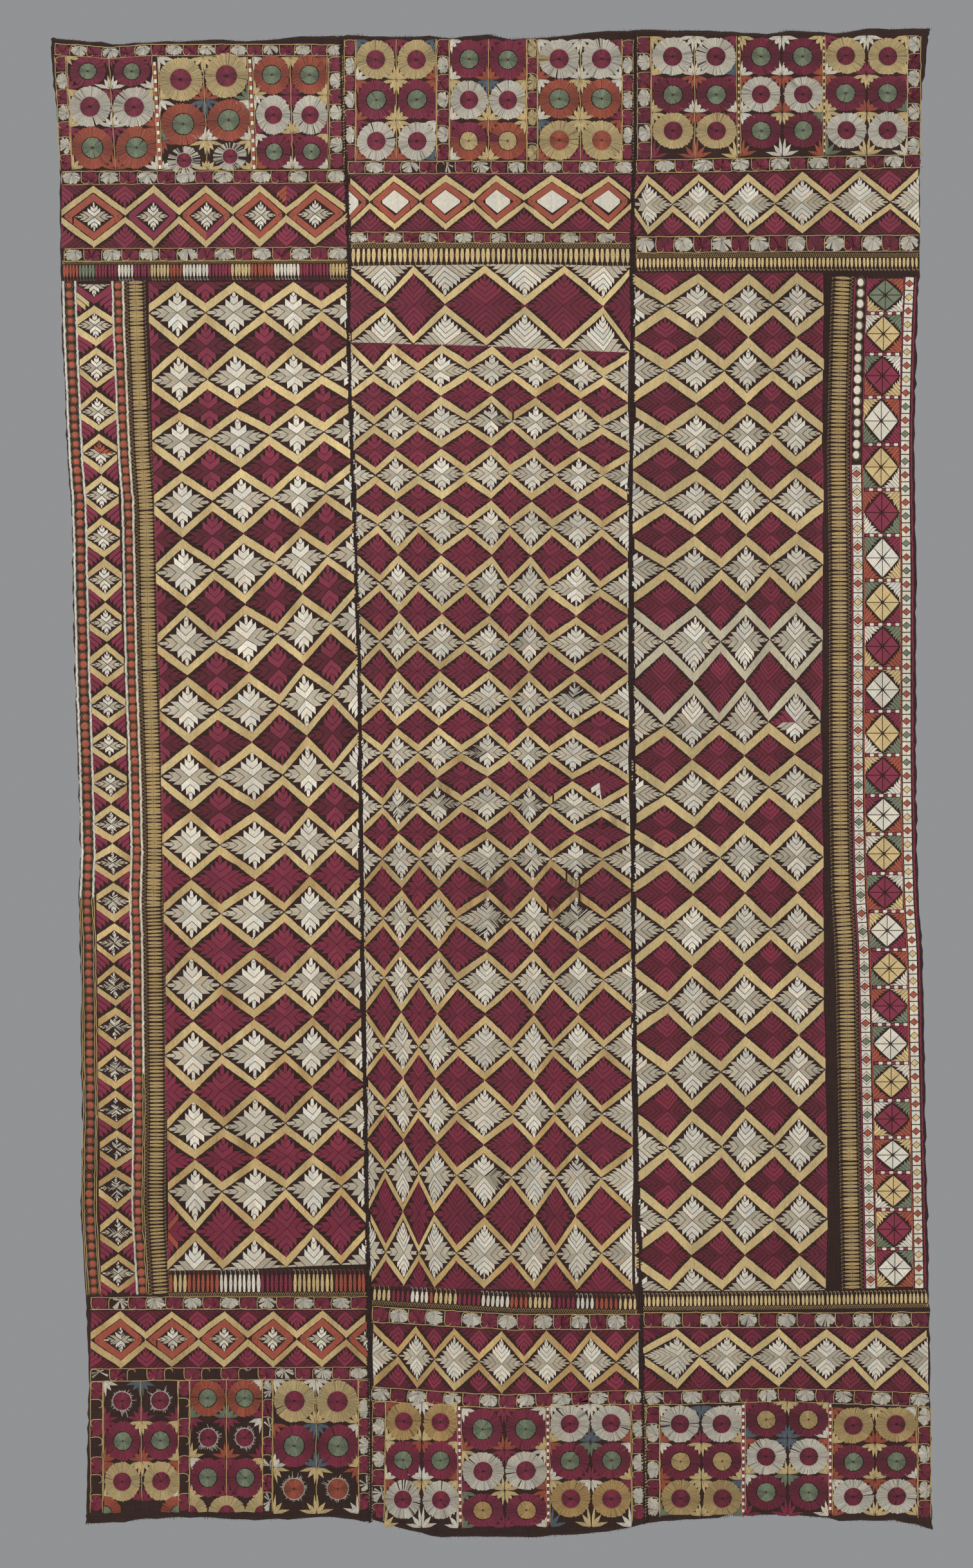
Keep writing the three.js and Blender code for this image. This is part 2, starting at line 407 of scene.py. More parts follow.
class Needlework:
    """Stitches, cords and seeds of one worked area, gathered as numbers and joined as one mesh."""

    # Height of the cloth's face, slope of a stitch's upper edges, bare ground beside a seam and how much
    # it varies, and the farthest that a thread map is shifted
    bed = 0.6
    bevel = 0.22
    clear = 3.0
    clear_spread = 0.9
    map_shift = 400.0

    def __init__(self, name: str, seed: int) -> None:
        """Starts an empty piece.

        Args:
            name: the piece's name.
            seed: start of its own run of random numbers.
        """
        self.name = name
        self.chance = np.random.default_rng(seed)
        self.rows: list[tuple[float, ...]] = []
        self.blocks: list[np.ndarray] = []
        self.patches: list[Patch] = []
        self.seeds: list[tuple[float, ...]] = []

    def tint(self, dye: Dye, spread: float = 0.07, shade: float = 1.0) -> tuple[float, float, float]:
        """A dye with the small differences between one skein and the next."""
        light = shade * (1.0 + spread * self.chance.standard_normal())
        red, green, blue = linear(dye, light)
        warm = 1.0 + 0.025 * self.chance.standard_normal()
        return red * warm, green, blue / warm

    def stitch(
        self,
        start: Point,
        end: Point,
        start_half: Point,
        end_half: Point,
        dye: tuple[float, float, float],
        height: float = 0.45,
        lift: float = 0.0,
        lay: Lay = Lay.TAPERED,
    ) -> None:
        """Lays one stitch on the chart.

        Args:
            start: middle of its first end.
            end: middle of its other end.
            start_half: from the middle of the first end to that end's corner.
            end_half: the same at the other end.
            dye: linear colour.
            height: how far it stands up.
            lift: how far it lies off the cloth.
            lay: how its threads run.
        """
        self.rows.append((*start, *end, *start_half, *end_half, height, lift, *dye, lay.value))

    def line(
        self, start: Point, end: Point, width: float, dye: tuple[float, float, float],
        height: float = 0.5, lift: float = 0.0, end_width: float | None = None,
    ) -> None:
        """Lays one straight stitch with square ends."""
        run_x, run_y = end[0] - start[0], end[1] - start[1]
        span = math.hypot(run_x, run_y) or 1.0
        half = (-run_y / span * width / 2, run_x / span * width / 2)
        last = (width if end_width is None else end_width) / width
        self.stitch(start, end, half, (half[0] * last, half[1] * last), dye, height, lift)

    def seed(
        self, at: Point, across: float, down: float, dye: tuple[float, float, float], height: float
    ) -> None:
        """Lays one rounded seed."""
        self.seeds.append((*at, across, down, height, *dye))

    def cord(
        self, path: Sequence[Point], width: float, dye: tuple[float, float, float],
        height: float = 0.9, lift: float = 0.0, material: int = 1, shades: np.ndarray | float = 1.0,
    ) -> None:
        """Lays a thin cord along a path.

        Args:
            path: chart points that it passes.
            width: millimetres across.
            dye: linear colour.
            height: how far it stands up.
            lift: how far it lies off the cloth.
            material: which of the piece's materials it takes.
            shades: brightness at each of its points.
        """
        points = np.array(path, float)
        points[:, 1] *= -1.0
        count = len(points)
        run = np.gradient(points, axis=0)
        run /= np.maximum(np.linalg.norm(run, axis=1, keepdims=True), 1e-6)
        right = np.stack((run[:, 1], -run[:, 0]), axis=1) * width / 2
        ring = np.stack((points + right, points - right, points), axis=1)
        rise = np.zeros((count, 3))
        rise[1:-1, 2] = height
        rise[0, 2] = rise[-1, 2] = height * 0.5
        length = np.concatenate(([0.0], np.cumsum(np.linalg.norm(np.diff(points, axis=0), axis=1))))
        thread = np.stack((np.tile((0.0, width, width / 2), count), np.repeat(length, 3)), axis=1)
        thread += self.chance.uniform(0, self.map_shift, 2)
        faces: list[tuple[int, ...]] = []
        for step in range(count - 1):
            low, high = 3 * step, 3 * step + 3
            faces += [(low, high, high + 2, low + 2), (low + 1, low + 2, high + 2, high + 1),
                      (low, low + 1, high + 1, high)]
        last = 3 * (count - 1)
        faces += [(1, 0, 2), (last, last + 1, last + 2)]
        flat = ring.reshape(-1, 2)
        own = shades * (1.0 + 0.05 * self.chance.standard_normal(count))
        colour = np.repeat(np.array(dye)[None, :] * own[:, None], 3, axis=0)
        self.patches.append(
            Patch(flat[:, 0], flat[:, 1], rise.ravel() + self.bed + lift, thread, colour, faces, material)
        )

    def _off_seams(self, rows: np.ndarray) -> np.ndarray:
        """Shortens the stitches that come too near a seam, and leaves out those that lie on it."""
        middle = (rows[:, 0:2] + rows[:, 2:4]) / 2 - CHART_ORIGIN
        for seam in (SEAM_LEFT, SEAM_RIGHT):
            place = seam.at(middle[:, 1]) + CHART_ORIGIN[0]
            hand = np.where(middle[:, 0] + CHART_ORIGIN[0] < place, -1.0, 1.0)
            clear = self.clear + self.chance.normal(0, self.clear_spread, len(rows))
            tail = hand * (rows[:, 0] - place) - clear
            head = hand * (rows[:, 2] - place) - clear
            keep = (tail > 0) | (head > 0)
            rows, middle, tail, head = rows[keep], middle[keep], tail[keep], head[keep]
            share = np.clip(tail / np.where(tail == head, 1.0, tail - head), 0.0, 1.0)[:, None]
            met = rows[:, 0:2] + share * (rows[:, 2:4] - rows[:, 0:2])
            rows[:, 0:2] = np.where((tail < 0)[:, None], met, rows[:, 0:2])
            rows[:, 2:4] = np.where((head < 0)[:, None], met, rows[:, 2:4])
        return rows

    def _stitch_patch(self) -> Patch:
        """Joins all the stitches laid so far."""
        rows = np.concatenate([np.array(self.rows, float).reshape(-1, 14), *self.blocks])
        if self.clear:
            rows = self._off_seams(rows)
        start, end = rows[:, 0:2] * (1, -1), rows[:, 2:4] * (1, -1)
        first, last = rows[:, 4:6] * (1, -1), rows[:, 6:8] * (1, -1)
        run = end - start
        turned = run[:, 0] * first[:, 1] - run[:, 1] * first[:, 0] > 0
        flip = np.where(turned, -1.0, 1.0)[:, None]
        first, last = first * flip, last * flip
        span = np.maximum(np.linalg.norm(run, axis=1), 0.01)
        width = np.linalg.norm(first, axis=1) + np.linalg.norm(last, axis=1)
        across, start_to_end, rise = STITCH.points.T
        inset = np.minimum(self.bevel, span * 0.3) / span
        narrow = 1 - np.minimum(2 * self.bevel / np.maximum(width, 0.1), 0.4)[:, None] * rise[None, :]
        share = start_to_end[None, :] + (1 - 2 * start_to_end[None, :]) * rise[None, :] * inset[:, None]
        middle = start[:, None, :] + run[:, None, :] * share[:, :, None]
        half = first[:, None, :] * (1 - share[:, :, None]) + last[:, None, :] * share[:, :, None]
        spots = middle + half * (across[None, :] * narrow)[:, :, None]
        lift = self.bed + rows[:, 9:10] + rise[None, :] * rows[:, 8:9]
        beside, along = width[:, None] / 2 * across, share * span[:, None]
        thread = self._thread_map(rows[:, 13], spots, first, run, beside, along)
        flat = spots.reshape(-1, 2)
        colour = np.repeat(rows[:, 10:13], len(across), axis=0)
        return Patch(flat[:, 0], flat[:, 1], lift.ravel(), thread, colour,
                     _repeat_faces(STITCH, len(rows)), 0, False)

    def _thread_map(
        self, lay: np.ndarray, spots: np.ndarray, first: np.ndarray, run: np.ndarray,
        beside: np.ndarray, along: np.ndarray,
    ) -> np.ndarray:
        """Millimetres across and along the threads at each point of the stitches.

        Args:
            lay: how the threads of each stitch run.
            spots: its points.
            first: half of its first end.
            run: from its start to its end.
            beside: distance of each point from its middle line.
            along: distance of each point from its start.

        Returns:
            One row for each point.
        """
        guide = np.where((lay == Lay.ACROSS.value)[:, None], first, run)
        guide = guide / np.maximum(np.linalg.norm(guide, axis=1, keepdims=True), 1e-6)
        straight = np.stack((
            spots[:, :, 0] * guide[:, None, 1] - spots[:, :, 1] * guide[:, None, 0],
            spots[:, :, 0] * guide[:, None, 0] + spots[:, :, 1] * guide[:, None, 1],
        ), axis=-1)
        tapered = np.stack((beside, along), axis=-1)
        thread = np.where((lay == Lay.TAPERED.value)[:, None, None], tapered, straight)
        return (thread + self.chance.uniform(0, self.map_shift, (len(lay), 1, 2))).reshape(-1, 2)

    def _seed_patch(self) -> Patch:
        """Joins all the seeds laid so far."""
        rows = np.array(self.seeds, float)
        x, y, z = SEED.points.T
        flat_x = rows[:, 0:1] + x[None, :] * rows[:, 2:3]
        flat_y = -rows[:, 1:2] + y[None, :] * rows[:, 3:4]
        lift = self.bed + z[None, :] * rows[:, 4:5]
        offset = self.chance.uniform(0, self.map_shift, (len(rows), 1))
        thread = np.stack((flat_y + offset, flat_x), axis=-1).reshape(-1, 2)
        colour = np.repeat(rows[:, 5:8], len(x), axis=0)
        return Patch(flat_x.ravel(), flat_y.ravel(), lift.ravel(), thread, colour,
                     _repeat_faces(SEED, len(rows)), 0)

    def build(self, *finishes: Material) -> Object:
        """Joins everything as one mesh on the hanging cloth.

        Args:
            finishes: materials of the silk and, where the piece has them, its cords.

        Returns:
            The piece, riding on the cloth.
        """
        patches = list(self.patches)
        if self.rows or self.blocks:
            patches.append(self._stitch_patch())
        if self.seeds:
            patches.append(self._seed_patch())
        faces: list[tuple[int, ...]] = []
        kinds: list[int] = []
        smooth: list[bool] = []
        count = 0
        for patch in patches:
            faces += [tuple(index + count for index in face) for face in patch.faces]
            kinds += [min(patch.material, len(finishes) - 1)] * len(patch.faces)
            smooth += [patch.smooth] * len(patch.faces)
            count += len(patch.x)
        x, z, lift = (
            np.concatenate([getattr(patch, part) for patch in patches]) for part in ("x", "z", "lift")
        )
        x, z = x - CHART_ORIGIN[0], z + CHART_ORIGIN[1]
        mesh = bpy.data.meshes.new(self.name)
        mesh.from_pydata(HANG.lay(x, z, lift).tolist(), [], faces)
        thread = np.concatenate([patch.thread for patch in patches])
        dye = np.concatenate([patch.dye for patch in patches])
        dress_mesh(mesh, thread, dye, kinds, smooth)
        for finish in finishes:
            mesh.materials.append(finish)
        piece = add_object(self.name, mesh)
        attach(piece, BODY)
        triangles = sum(len(face) - 2 for face in faces)
        LOG.info("%s: %d triangles", self.name, triangles)
        return piece


def _repeat_faces(stamp: Stamp, copies: int) -> list[tuple[int, ...]]:
    """Faces of a stamp laid down many times, one copy's points after another's."""
    size = len(stamp.points)
    faces: list[tuple[int, ...]] = []
    for face in stamp.faces:
        table = np.array(face)[None, :] + size * np.arange(copies)[:, None]
        faces += [tuple(row) for row in table.tolist()]
    return faces


def add_object(name: str, data: ID) -> Object:
    """Adds an object to the scene."""
    made = bpy.data.objects.new(name, data)
    bpy.context.scene.collection.objects.link(made)
    return made


def map_threads(mesh: Mesh, thread: np.ndarray) -> None:
    """Gives a mesh its thread map: for each point, millimetres across and along its thread."""
    corner_points = np.empty(len(mesh.loops), np.int32)
    mesh.loops.foreach_get("vertex_index", corner_points)
    layer = mesh.uv_layers.new(name=THREAD_MAP)
    layer.data.foreach_set("uv", thread[corner_points].astype(np.float32).ravel())


def dress_mesh(
    mesh: Mesh, thread: np.ndarray, dye: np.ndarray, kinds: Sequence[int], smooth: Sequence[bool]
) -> None:
    """Gives a joined mesh its thread map, its colours and its materials' places.

    Args:
        mesh: the joined mesh.
        thread: for each point, millimetres across and along its thread.
        dye: linear colour of each point.
        kinds: material index of each face.
        smooth: whether each face is shaded as round.
    """
    map_threads(mesh, thread)
    colours = mesh.color_attributes.new(name=DYE_LAYER, type="FLOAT_COLOR", domain="POINT")
    solid = np.concatenate((np.clip(dye, 0, 1), np.ones((len(dye), 1))), axis=1)
    colours.data.foreach_set("color", solid.astype(np.float32).ravel())
    mesh.polygons.foreach_set("material_index", np.array(kinds, np.int32))
    mesh.polygons.foreach_set("use_smooth", np.array(smooth, bool))
    mesh.update()


# Leaves, stars and bands


def move(origin: Point, *steps: tuple[Point, float]) -> Point:
    """Goes from a point along several directions, each by its own distance."""
    x, y = origin
    for direction, distance in steps:
        x += direction[0] * distance
        y += direction[1] * distance
    return x, y


def scaled(direction: Point, size: float) -> Point:
    """A direction drawn out to a size."""
    return direction[0] * size, direction[1] * size


def unit_between(origin: Point, target: Point) -> tuple[Point, float]:
    """Direction and distance from one point to another."""
    x, y = target[0] - origin[0], target[1] - origin[1]
    span = math.hypot(x, y) or 1e-6
    return (x / span, y / span), span


@dataclass(frozen=True)
class LeafCut:
    """How the leaves of a star are cut and stitched, in millimetres."""

    upright: float
    level: float
    line: float = 0.75
    inset: float = 1.8
    tip: float = 6.0
    ragged: float = 0.5
    height: float = 0.5


@dataclass
class Quarter:
    """A quarter of a star between one upright arm and one level arm."""

    centre: Point
    top: Point
    side: Point


class Star:
    """A star of slanting leaves, four quarters round a centre."""

    # Spread of the tone from leaf to leaf, the most leaves on half an arm, the width of one worn strip and
    # the wear from which a leaf is in strips, the shortest side worked, and a wing's leaves
    leaf_tone = 0.05
    most_leaves = 12
    strip = 2.2
    strip_wear = 0.2
    least_side = 6.0
    wing_leaves = 6
    wing_leaf = 1.3

    def __init__(self, work: Needlework, cut: LeafCut) -> None:
        """Takes the piece that the leaves go to and the way they are cut."""
        self.work = work
        self.cut = cut

    def quarter(self, part: Quarter, upright: Dye, level: Dye, shades: Point = (1.0, 1.0)) -> None:
        """Stitches a quarter: half of an upright arm and half of a level arm.

        Args:
            part: the quarter's centre and its two tips.
            upright: dye of the upright arm.
            level: dye of the level arm, often a darker dye as painted shade.
            shades: brightness of the two arms, the level one lower as painted shade.
        """
        up, tall = unit_between(part.centre, part.top)
        out, wide = unit_between(part.centre, part.side)
        if min(tall, wide) < self.least_side:
            return
        self._half_arm(part.centre, up, tall, out, wide, self.cut.upright, upright, shades[0])
        self._half_arm(part.centre, out, wide, up, tall, self.cut.level, level, shades[1])

    def wing(self, top: Point, foot: Point, inner: Point, dye: Dye, shade: float) -> None:
        """Fills a half diamond with leaves that all slant down from its upright side.

        Args:
            top: upper corner of the half diamond.
            foot: its lower corner.
            inner: its corner in the middle of the border.
            dye: colour of the leaves.
            shade: their brightness.
        """
        cut, chance = self.cut, self.work.chance
        down, tall = unit_between(top, foot)
        wide = abs(inner[0] - top[0])
        side = ((inner[0] - top[0]) / wide, 0.0)
        slope = tall / 2 / wide
        gap = cut.line * math.sqrt(1 + slope * slope) / 2
        for step in range(self.wing_leaves):
            low = step * cut.upright * self.wing_leaf + gap
            high = (step + 1) * cut.upright * self.wing_leaf - gap
            reach = (tall - 1.5 * cut.inset - high) / (2 * slope) + cut.ragged * chance.standard_normal()
            if reach < 3.0:
                break
            own = swapped(dye, *move(top, (down, high), (side, reach / 2)))
            tone = shade * chance.normal(1, self.leaf_tone)
            self._leaf(top, down, side, (low, high), slope, reach, own, tone, 0.0)

    def _reach(self, tall: float, wide: float, slope: float, top: float) -> float:
        """How far a leaf reaches from the arm's axis before it meets the edge of its diamond."""
        inner_tall = tall - self.cut.inset
        inner_wide = wide - self.cut.inset * wide / tall
        return (inner_tall - top) / (slope + inner_tall / inner_wide)

    def _half_arm(
        self, centre: Point, axis: Point, tall: float, side: Point, wide: float,
        leaf: float, dye: Dye, shade: float,
    ) -> None:
        """Stitches the leaves on one side of an arm, and that side of its tip.

        Args:
            centre: middle of the star.
            axis: direction of the arm.
            tall: its length.
            side: direction of the arm beside it.
            wide: that arm's length.
            leaf: height of one leaf along the arm.
            dye: colour of the arm.
            shade: its brightness.
        """
        work, cut, chance = self.work, self.cut, self.work.chance
        slope = tall / wide
        gap = cut.line * math.sqrt(1 + slope * slope) / 2
        worn = wear_at(*move(centre, (axis, tall / 2)), dye in (Dye.WHITE, Dye.WHITE_PAINTED_SHADE))
        low = gap
        for step in range(self.most_leaves):
            low, high = step * leaf + gap, (step + 1) * leaf - gap
            reach = self._reach(tall, wide, slope, high)
            if reach < 0.2 * leaf:
                break
            tone = shade * (1 + self.leaf_tone * chance.standard_normal())
            far = reach + cut.ragged * chance.standard_normal()
            own = swapped(dye, *move(centre, (axis, (low + high) / 2 + slope * far / 2), (side, far / 2)))
            self._leaf(centre, axis, side, (low, high), slope, far, own, tone, worn)
        high = min(tall - cut.inset, low + 1.1 * leaf) + 0.5 * chance.standard_normal()
        if high - low > 2.0:
            beside, half = cut.tip / 4 - 0.15, cut.tip / 4 + 0.15
            own = swapped(dye, *move(centre, (axis, (low + high) / 2), (side, beside)))
            foot = move((0.0, 0.0), (side, half), (axis, slope * half))
            point = move((0.0, 0.0), (side, half * 0.7), (axis, -half * 0.8))
            tail = move(centre, (axis, low + slope * beside), (side, beside))
            head = move(centre, (axis, high), (side, beside * 0.8))
            work.stitch(tail, head, foot, point, work.tint(own, 0.03, shade), cut.height, lay=Lay.ALONG)

    def _leaf(
        self, centre: Point, axis: Point, side: Point, ends: Point, slope: float, far: float,
        dye: Dye, tone: float, worn: float,
    ) -> None:
        """Stitches half a leaf, whole or, where it is worn, as strips with some of them gone.

        Args:
            centre: middle of the star.
            axis: direction of the leaf's arm.
            side: direction in which the leaf reaches out.
            ends: distances along the arm where the leaf starts and ends.
            slope: how much it rises for each millimetre outwards.
            far: how far it reaches.
            dye: its colour.
            tone: its brightness.
            worn: its wear, from 0 to 1.
        """
        work, chance = self.work, self.work.chance
        strips = 1 if worn < self.strip_wear else round((ends[1] - ends[0]) / self.strip)
        strip = (ends[1] - ends[0]) / strips
        for number in range(strips):
            if strips > 1 and chance.random() < worn * 0.35:
                continue
            middle = ends[0] + (number + 0.5) * strip
            dim = 1 - worn * 0.8 * chance.random() ** 2
            left = 1 - worn * 0.9 * chance.random() ** 2.4
            half, end = scaled(axis, strip / 2), scaled(axis, strip / (2 if left > 0.85 else 5))
            work.stitch(
                move(centre, (axis, middle - slope * 0.35), (side, -0.35)),
                move(centre, (axis, middle + slope * far * left), (side, far * left)),
                half, end, work.tint(dye, 0.03, tone * dim), self.cut.height, lay=Lay.ACROSS,
            )


def zigzag(
    work: Needlework, knots: Sequence[Point], thickness: float, dye: Dye,
    shade: float = 1.0, amber: float = 0.0,
) -> None:
    """Fills a zigzag band with upright stitches.

    Args:
        work: the piece that it goes to.
        knots: corners of the band's upper edge, from left to right.
        thickness: upright width of the band.
        dye: its colour.
        shade: brightness of this band.
        amber: how much of it is sewn from browner skeins.
    """
    xs, ys = (np.array(part) for part in zip(*knots))
    x = np.arange(xs[0] + BUNDLE / 2, xs[-1], BUNDLE)
    count = len(x)
    slopes = np.diff(ys) / np.diff(xs)
    slope = slopes[np.clip(np.searchsorted(xs, x) - 1, 0, len(slopes) - 1)]
    chance = work.chance
    waves = max(3, round((xs[-1] - xs[0]) / SKEIN_RUN))

    def wander(middle: float, spread: float) -> np.ndarray:
        """Random values that change smoothly along the band."""
        return np.interp(x, np.linspace(xs[0], xs[-1], waves), chance.normal(middle, spread, waves))

    edge = np.interp(x, xs, ys)
    top = edge + wander(0, 0.5) + chance.normal(0, 0.2, count)
    bottom = edge + thickness + wander(0, 0.6) + chance.normal(0, 0.2, count)
    half = np.stack((np.full(count, BUNDLE * OVERLAP), slope * BUNDLE * OVERLAP), axis=1)
    base = np.array([linear(swapped(dye, px, py)) for px, py in zip(x, top + thickness / 2)])
    browner = np.clip(wander(amber, 0.3), 0.0, 1.0)[:, None] * (amber > 0)
    base = base + browner * (np.array(linear(Dye.AMBER)) - base)
    tone = shade * wander(1, 0.08) * chance.normal(1, 0.035, count)
    warm = 1 + 0.02 * chance.standard_normal(count)
    worn = np.array([wear_at(px, py) for px, py in zip(x, (top + bottom) / 2)])
    smudge = np.interp(x, np.linspace(xs[0], xs[-1], 3 * waves), chance.uniform(-0.2, 1.2, 3 * waves))
    stain = 1 - worn * np.clip(smudge * chance.normal(1, 0.25, count), 0.0, 1.0)
    colour = base * (tone * stain)[:, None]
    colour = colour * np.stack((warm, np.ones(count), 1 / warm), axis=1)
    rows = np.column_stack((
        x, top, x, bottom, half, half, chance.normal(0.5, 0.03, count), np.zeros(count), colour,
        np.full(count, Lay.ALONG.value),
    ))
    work.blocks.append(rows[chance.random(count) > worn * 0.08])


class Kind(Enum):
    """What stands on a column or a row of the lattice."""

    PALE = 0
    DEEP = 1

    @property
    def other(self) -> "Kind":
        """The other of the two."""
        return Kind.DEEP if self is Kind.PALE else Kind.PALE


@dataclass(frozen=True)
class Colours:
    """Dyes of a star: its upright and its level arms, with the level arm painted darker as painted shade for
    the silk's sheen, and how much either may differ.
    """

    upright: Dye
    level: Dye
    upright_shade: float = 1.0
    # Brightness of the level arm, set lower as painted shade for the silk's sheen
    level_painted_shade: float = 1.0
    spread: float = 0.05


@dataclass(frozen=True)
class Frame:
    """A frame sewn inside each pale diamond, round a smaller star or, where it is plain, a white diamond."""

    dye: Dye
    width: float
    star: float
    plain: bool = False


SOLID_WHITE = Frame(Dye.WHITE, 99.0, 0.0)


def shown_parts(sides: tuple[bool, bool], halves: tuple[bool, bool] = (True, True)) -> list[tuple[str, str]]:
    """The quarters of a diamond that show, each as the names of its upright and its level tip."""
    return [(upright, level) for upright, shown in zip(("up", "down"), halves)
            for level, is_open in zip(("left", "right"), sides) if shown and is_open]


@dataclass(frozen=True)
class Lattice:
    """Diamonds between zigzag bands, with a star of leaves in each.

    Columns are given from left to right, each with its x at every station. Rows are the heights of the
    pale rows at three places across. The deep rows lie midway. A row at the head or foot is half a row.
    Pale bands are those sewn in pale silk instead. With wings, a deep star is a half diamond of slanting
    leaves. Amber gives heights, and how much of the bands there is sewn from browner skeins.
    """

    name: str
    first: Kind
    stations: tuple[float, ...]
    columns: tuple[tuple[float, ...], ...]
    across: tuple[float, float, float]
    rows: tuple[tuple[float, float, float], ...]
    band: float
    pale_cut: LeafCut
    deep_cut: LeafCut
    pale: Colours
    deep: Colours
    head: tuple[float, float, float] | None = None
    foot: tuple[float, float, float] | None = None
    row_kind: Kind = Kind.PALE
    gap: float = 1.6
    jitter: float = 0.9
    band_dye: Dye = Dye.GOLD
    band_shade: float = 0.93
    pale_bands: tuple[int, ...] = ()
    wings: bool = False
    frame: Frame | None = None
    amber: tuple[tuple[float, ...], tuple[float, ...]] = ((0.0,), (0.0,))

    # Room taken beyond the lattice, across and down, and place and half sizes of a frame's corner box
    beyond = (40.0, 50.0)
    box_inset = 7.4
    box_half = (4.8, 3.1)

    def levels(self) -> list[tuple[Kind, tuple[float, float, float]]]:
        """All rows from the top down: what stands on each and its three heights."""
        between = self.row_kind.other
        listed: list[tuple[Kind, tuple[float, float, float]]] = []
        if self.head:
            listed.append((between, self.head))
        for number, row in enumerate(self.rows):
            if number:
                above = self.rows[number - 1]
                listed.append((between, tuple((a + b) / 2 for a, b in zip(above, row))))
            listed.append((self.row_kind, row))
        if self.foot:
            listed.append((between, self.foot))
        return listed

    def places(self, chance: np.random.Generator) -> list[list[Point]]:
        """Where each row meets each column, with the small unevenness of handwork."""
        grid: list[list[Point]] = []
        for _, heights in self.levels():
            line: list[Point] = []
            for column in self.columns:
                x = float(np.interp(heights[1], self.stations, column))
                y = float(np.interp(x, self.across, heights))
                line.append((x + self.jitter * chance.standard_normal(),
                             y + self.jitter * 0.6 * chance.standard_normal()))
            grid.append(line)
        return grid

    def _star(
        self, pale: Star, deep: Star, kind: Kind, spot: Point, tips: dict[str, Point],
        sides: tuple[bool, bool], halves: tuple[bool, bool], chance: np.random.Generator,
    ) -> None:
        """Stitches the star of one diamond, or the part of it that shows.

        Args:
            pale: the star that works in pale silk.
            deep: the star that works in deep silk.
            kind: which of the two stands here.
            spot: middle of the diamond.
            tips: its four corners.
            sides: whether its left and its right half show.
            halves: whether its upper and its lower half show.
            chance: source of the small differences in tone.
        """
        colours = self.pale if kind is Kind.PALE else self.deep
        star = pale if kind is Kind.PALE else deep
        if self.frame is not None and kind is Kind.PALE:
            tips = self._framed(pale.work, spot, tips, sides)
            if self.frame.plain:
                return
        if self.wings and kind is Kind.DEEP:
            foot = tips["down"] if halves[1] else (spot[0], spot[1] + 12)
            top = tips["up"] if halves[0] else spot
            inner = tips["right" if sides[1] else "left"]
            star.wing(top, foot, inner, colours.upright, colours.upright_shade)
            return
        tones = dict(zip(("up", "down", "left", "right"), 1 + colours.spread * chance.standard_normal(4)))
        for upright, level in shown_parts(sides, halves):
            # The level arm's lower brightness is painted shade for the silk's sheen
            shades = (colours.upright_shade * tones[upright], colours.level_painted_shade * tones[level])
            part = Quarter(spot, tips[upright], tips[level])
            star.quarter(part, colours.upright, colours.level, shades)

    def _framed(
        self, work: Needlework, spot: Point, tips: dict[str, Point], sides: tuple[bool, bool]
    ) -> dict[str, Point]:
        """Sews the frame of a diamond.

        Args:
            work: the piece that it goes to.
            spot: middle of the diamond.
            tips: its four corners.
            sides: whether its left and its right half show.

        Returns:
            The tips of the star inside the frame.
        """
        plan = self.frame
        inner = {}
        for name, tip in tips.items():
            way, span = unit_between(spot, tip)
            inner[name] = move(spot, (way, max(2.0, span * plan.star)))
        for upright, level in shown_parts(sides):
            self._frame_side(work, spot, tips[upright], tips[level], plan, upright == "up")
            if plan.plain:
                self._frame_side(work, spot, inner[upright], inner[level], SOLID_WHITE, upright == "up")
        for _, level in shown_parts(sides, (True, False)):
            self._corner_box(work, spot, tips[level])
        return inner

    def _corner_box(self, work: Needlework, spot: Point, side: Point) -> None:
        """Outlines a small diamond with dark thread in a level corner of a frame."""
        out, wide = unit_between(spot, side)
        middle = move(spot, (out, wide - self.box_inset))
        across, down = self.box_half
        ways = ((across, 0.0), (0.0, down), (-across, 0.0), (0.0, -down))
        corners = [move(middle, (way, 1.0)) for way in ways]
        for start, end in zip(corners, corners[1:] + corners[:1]):
            work.line(start, end, 0.8, work.tint(Dye.SOOT, 0.1, 0.7), 0.15, 0.42)

    @staticmethod
    def _frame_side(
        work: Needlework, spot: Point, top: Point, side: Point, plan: Frame, whole: bool
    ) -> None:
        """Sews one side of a frame with upright stitches.

        Args:
            work: the piece that it goes to.
            spot: middle of the diamond.
            top: the diamond's upright corner.
            side: its level corner.
            plan: the frame.
            whole: whether this side fills the level corner too.
        """
        up, tall = unit_between(spot, top)
        out, wide = unit_between(spot, side)
        for step in range(int((wide - 3) / BUNDLE)):
            beside = (step + 0.5) * BUNDLE
            outer = (tall - 1.0) * (1 - beside / (wide - 1.0))
            inner = outer - plan.width
            if inner < 0:
                inner = -outer
            if outer < 0.6 or inner < 0 and not whole:
                continue
            slope = -(tall - 1.0) / (wide - 1.0)
            half = move((0.0, 0.0), (out, BUNDLE * OVERLAP), (up, slope * BUNDLE * OVERLAP))
            near = half
            if inner < 0:
                near = move((0.0, 0.0), (out, BUNDLE * OVERLAP), (up, -slope * BUNDLE * OVERLAP))
            tail, head = move(spot, (out, beside), (up, inner)), move(spot, (out, beside), (up, outer))
            own = swapped(plan.dye, (tail[0] + head[0]) / 2, (tail[1] + head[1]) / 2)
            work.stitch(tail, head, near, half, work.tint(own, 0.03, 0.9), 0.5)

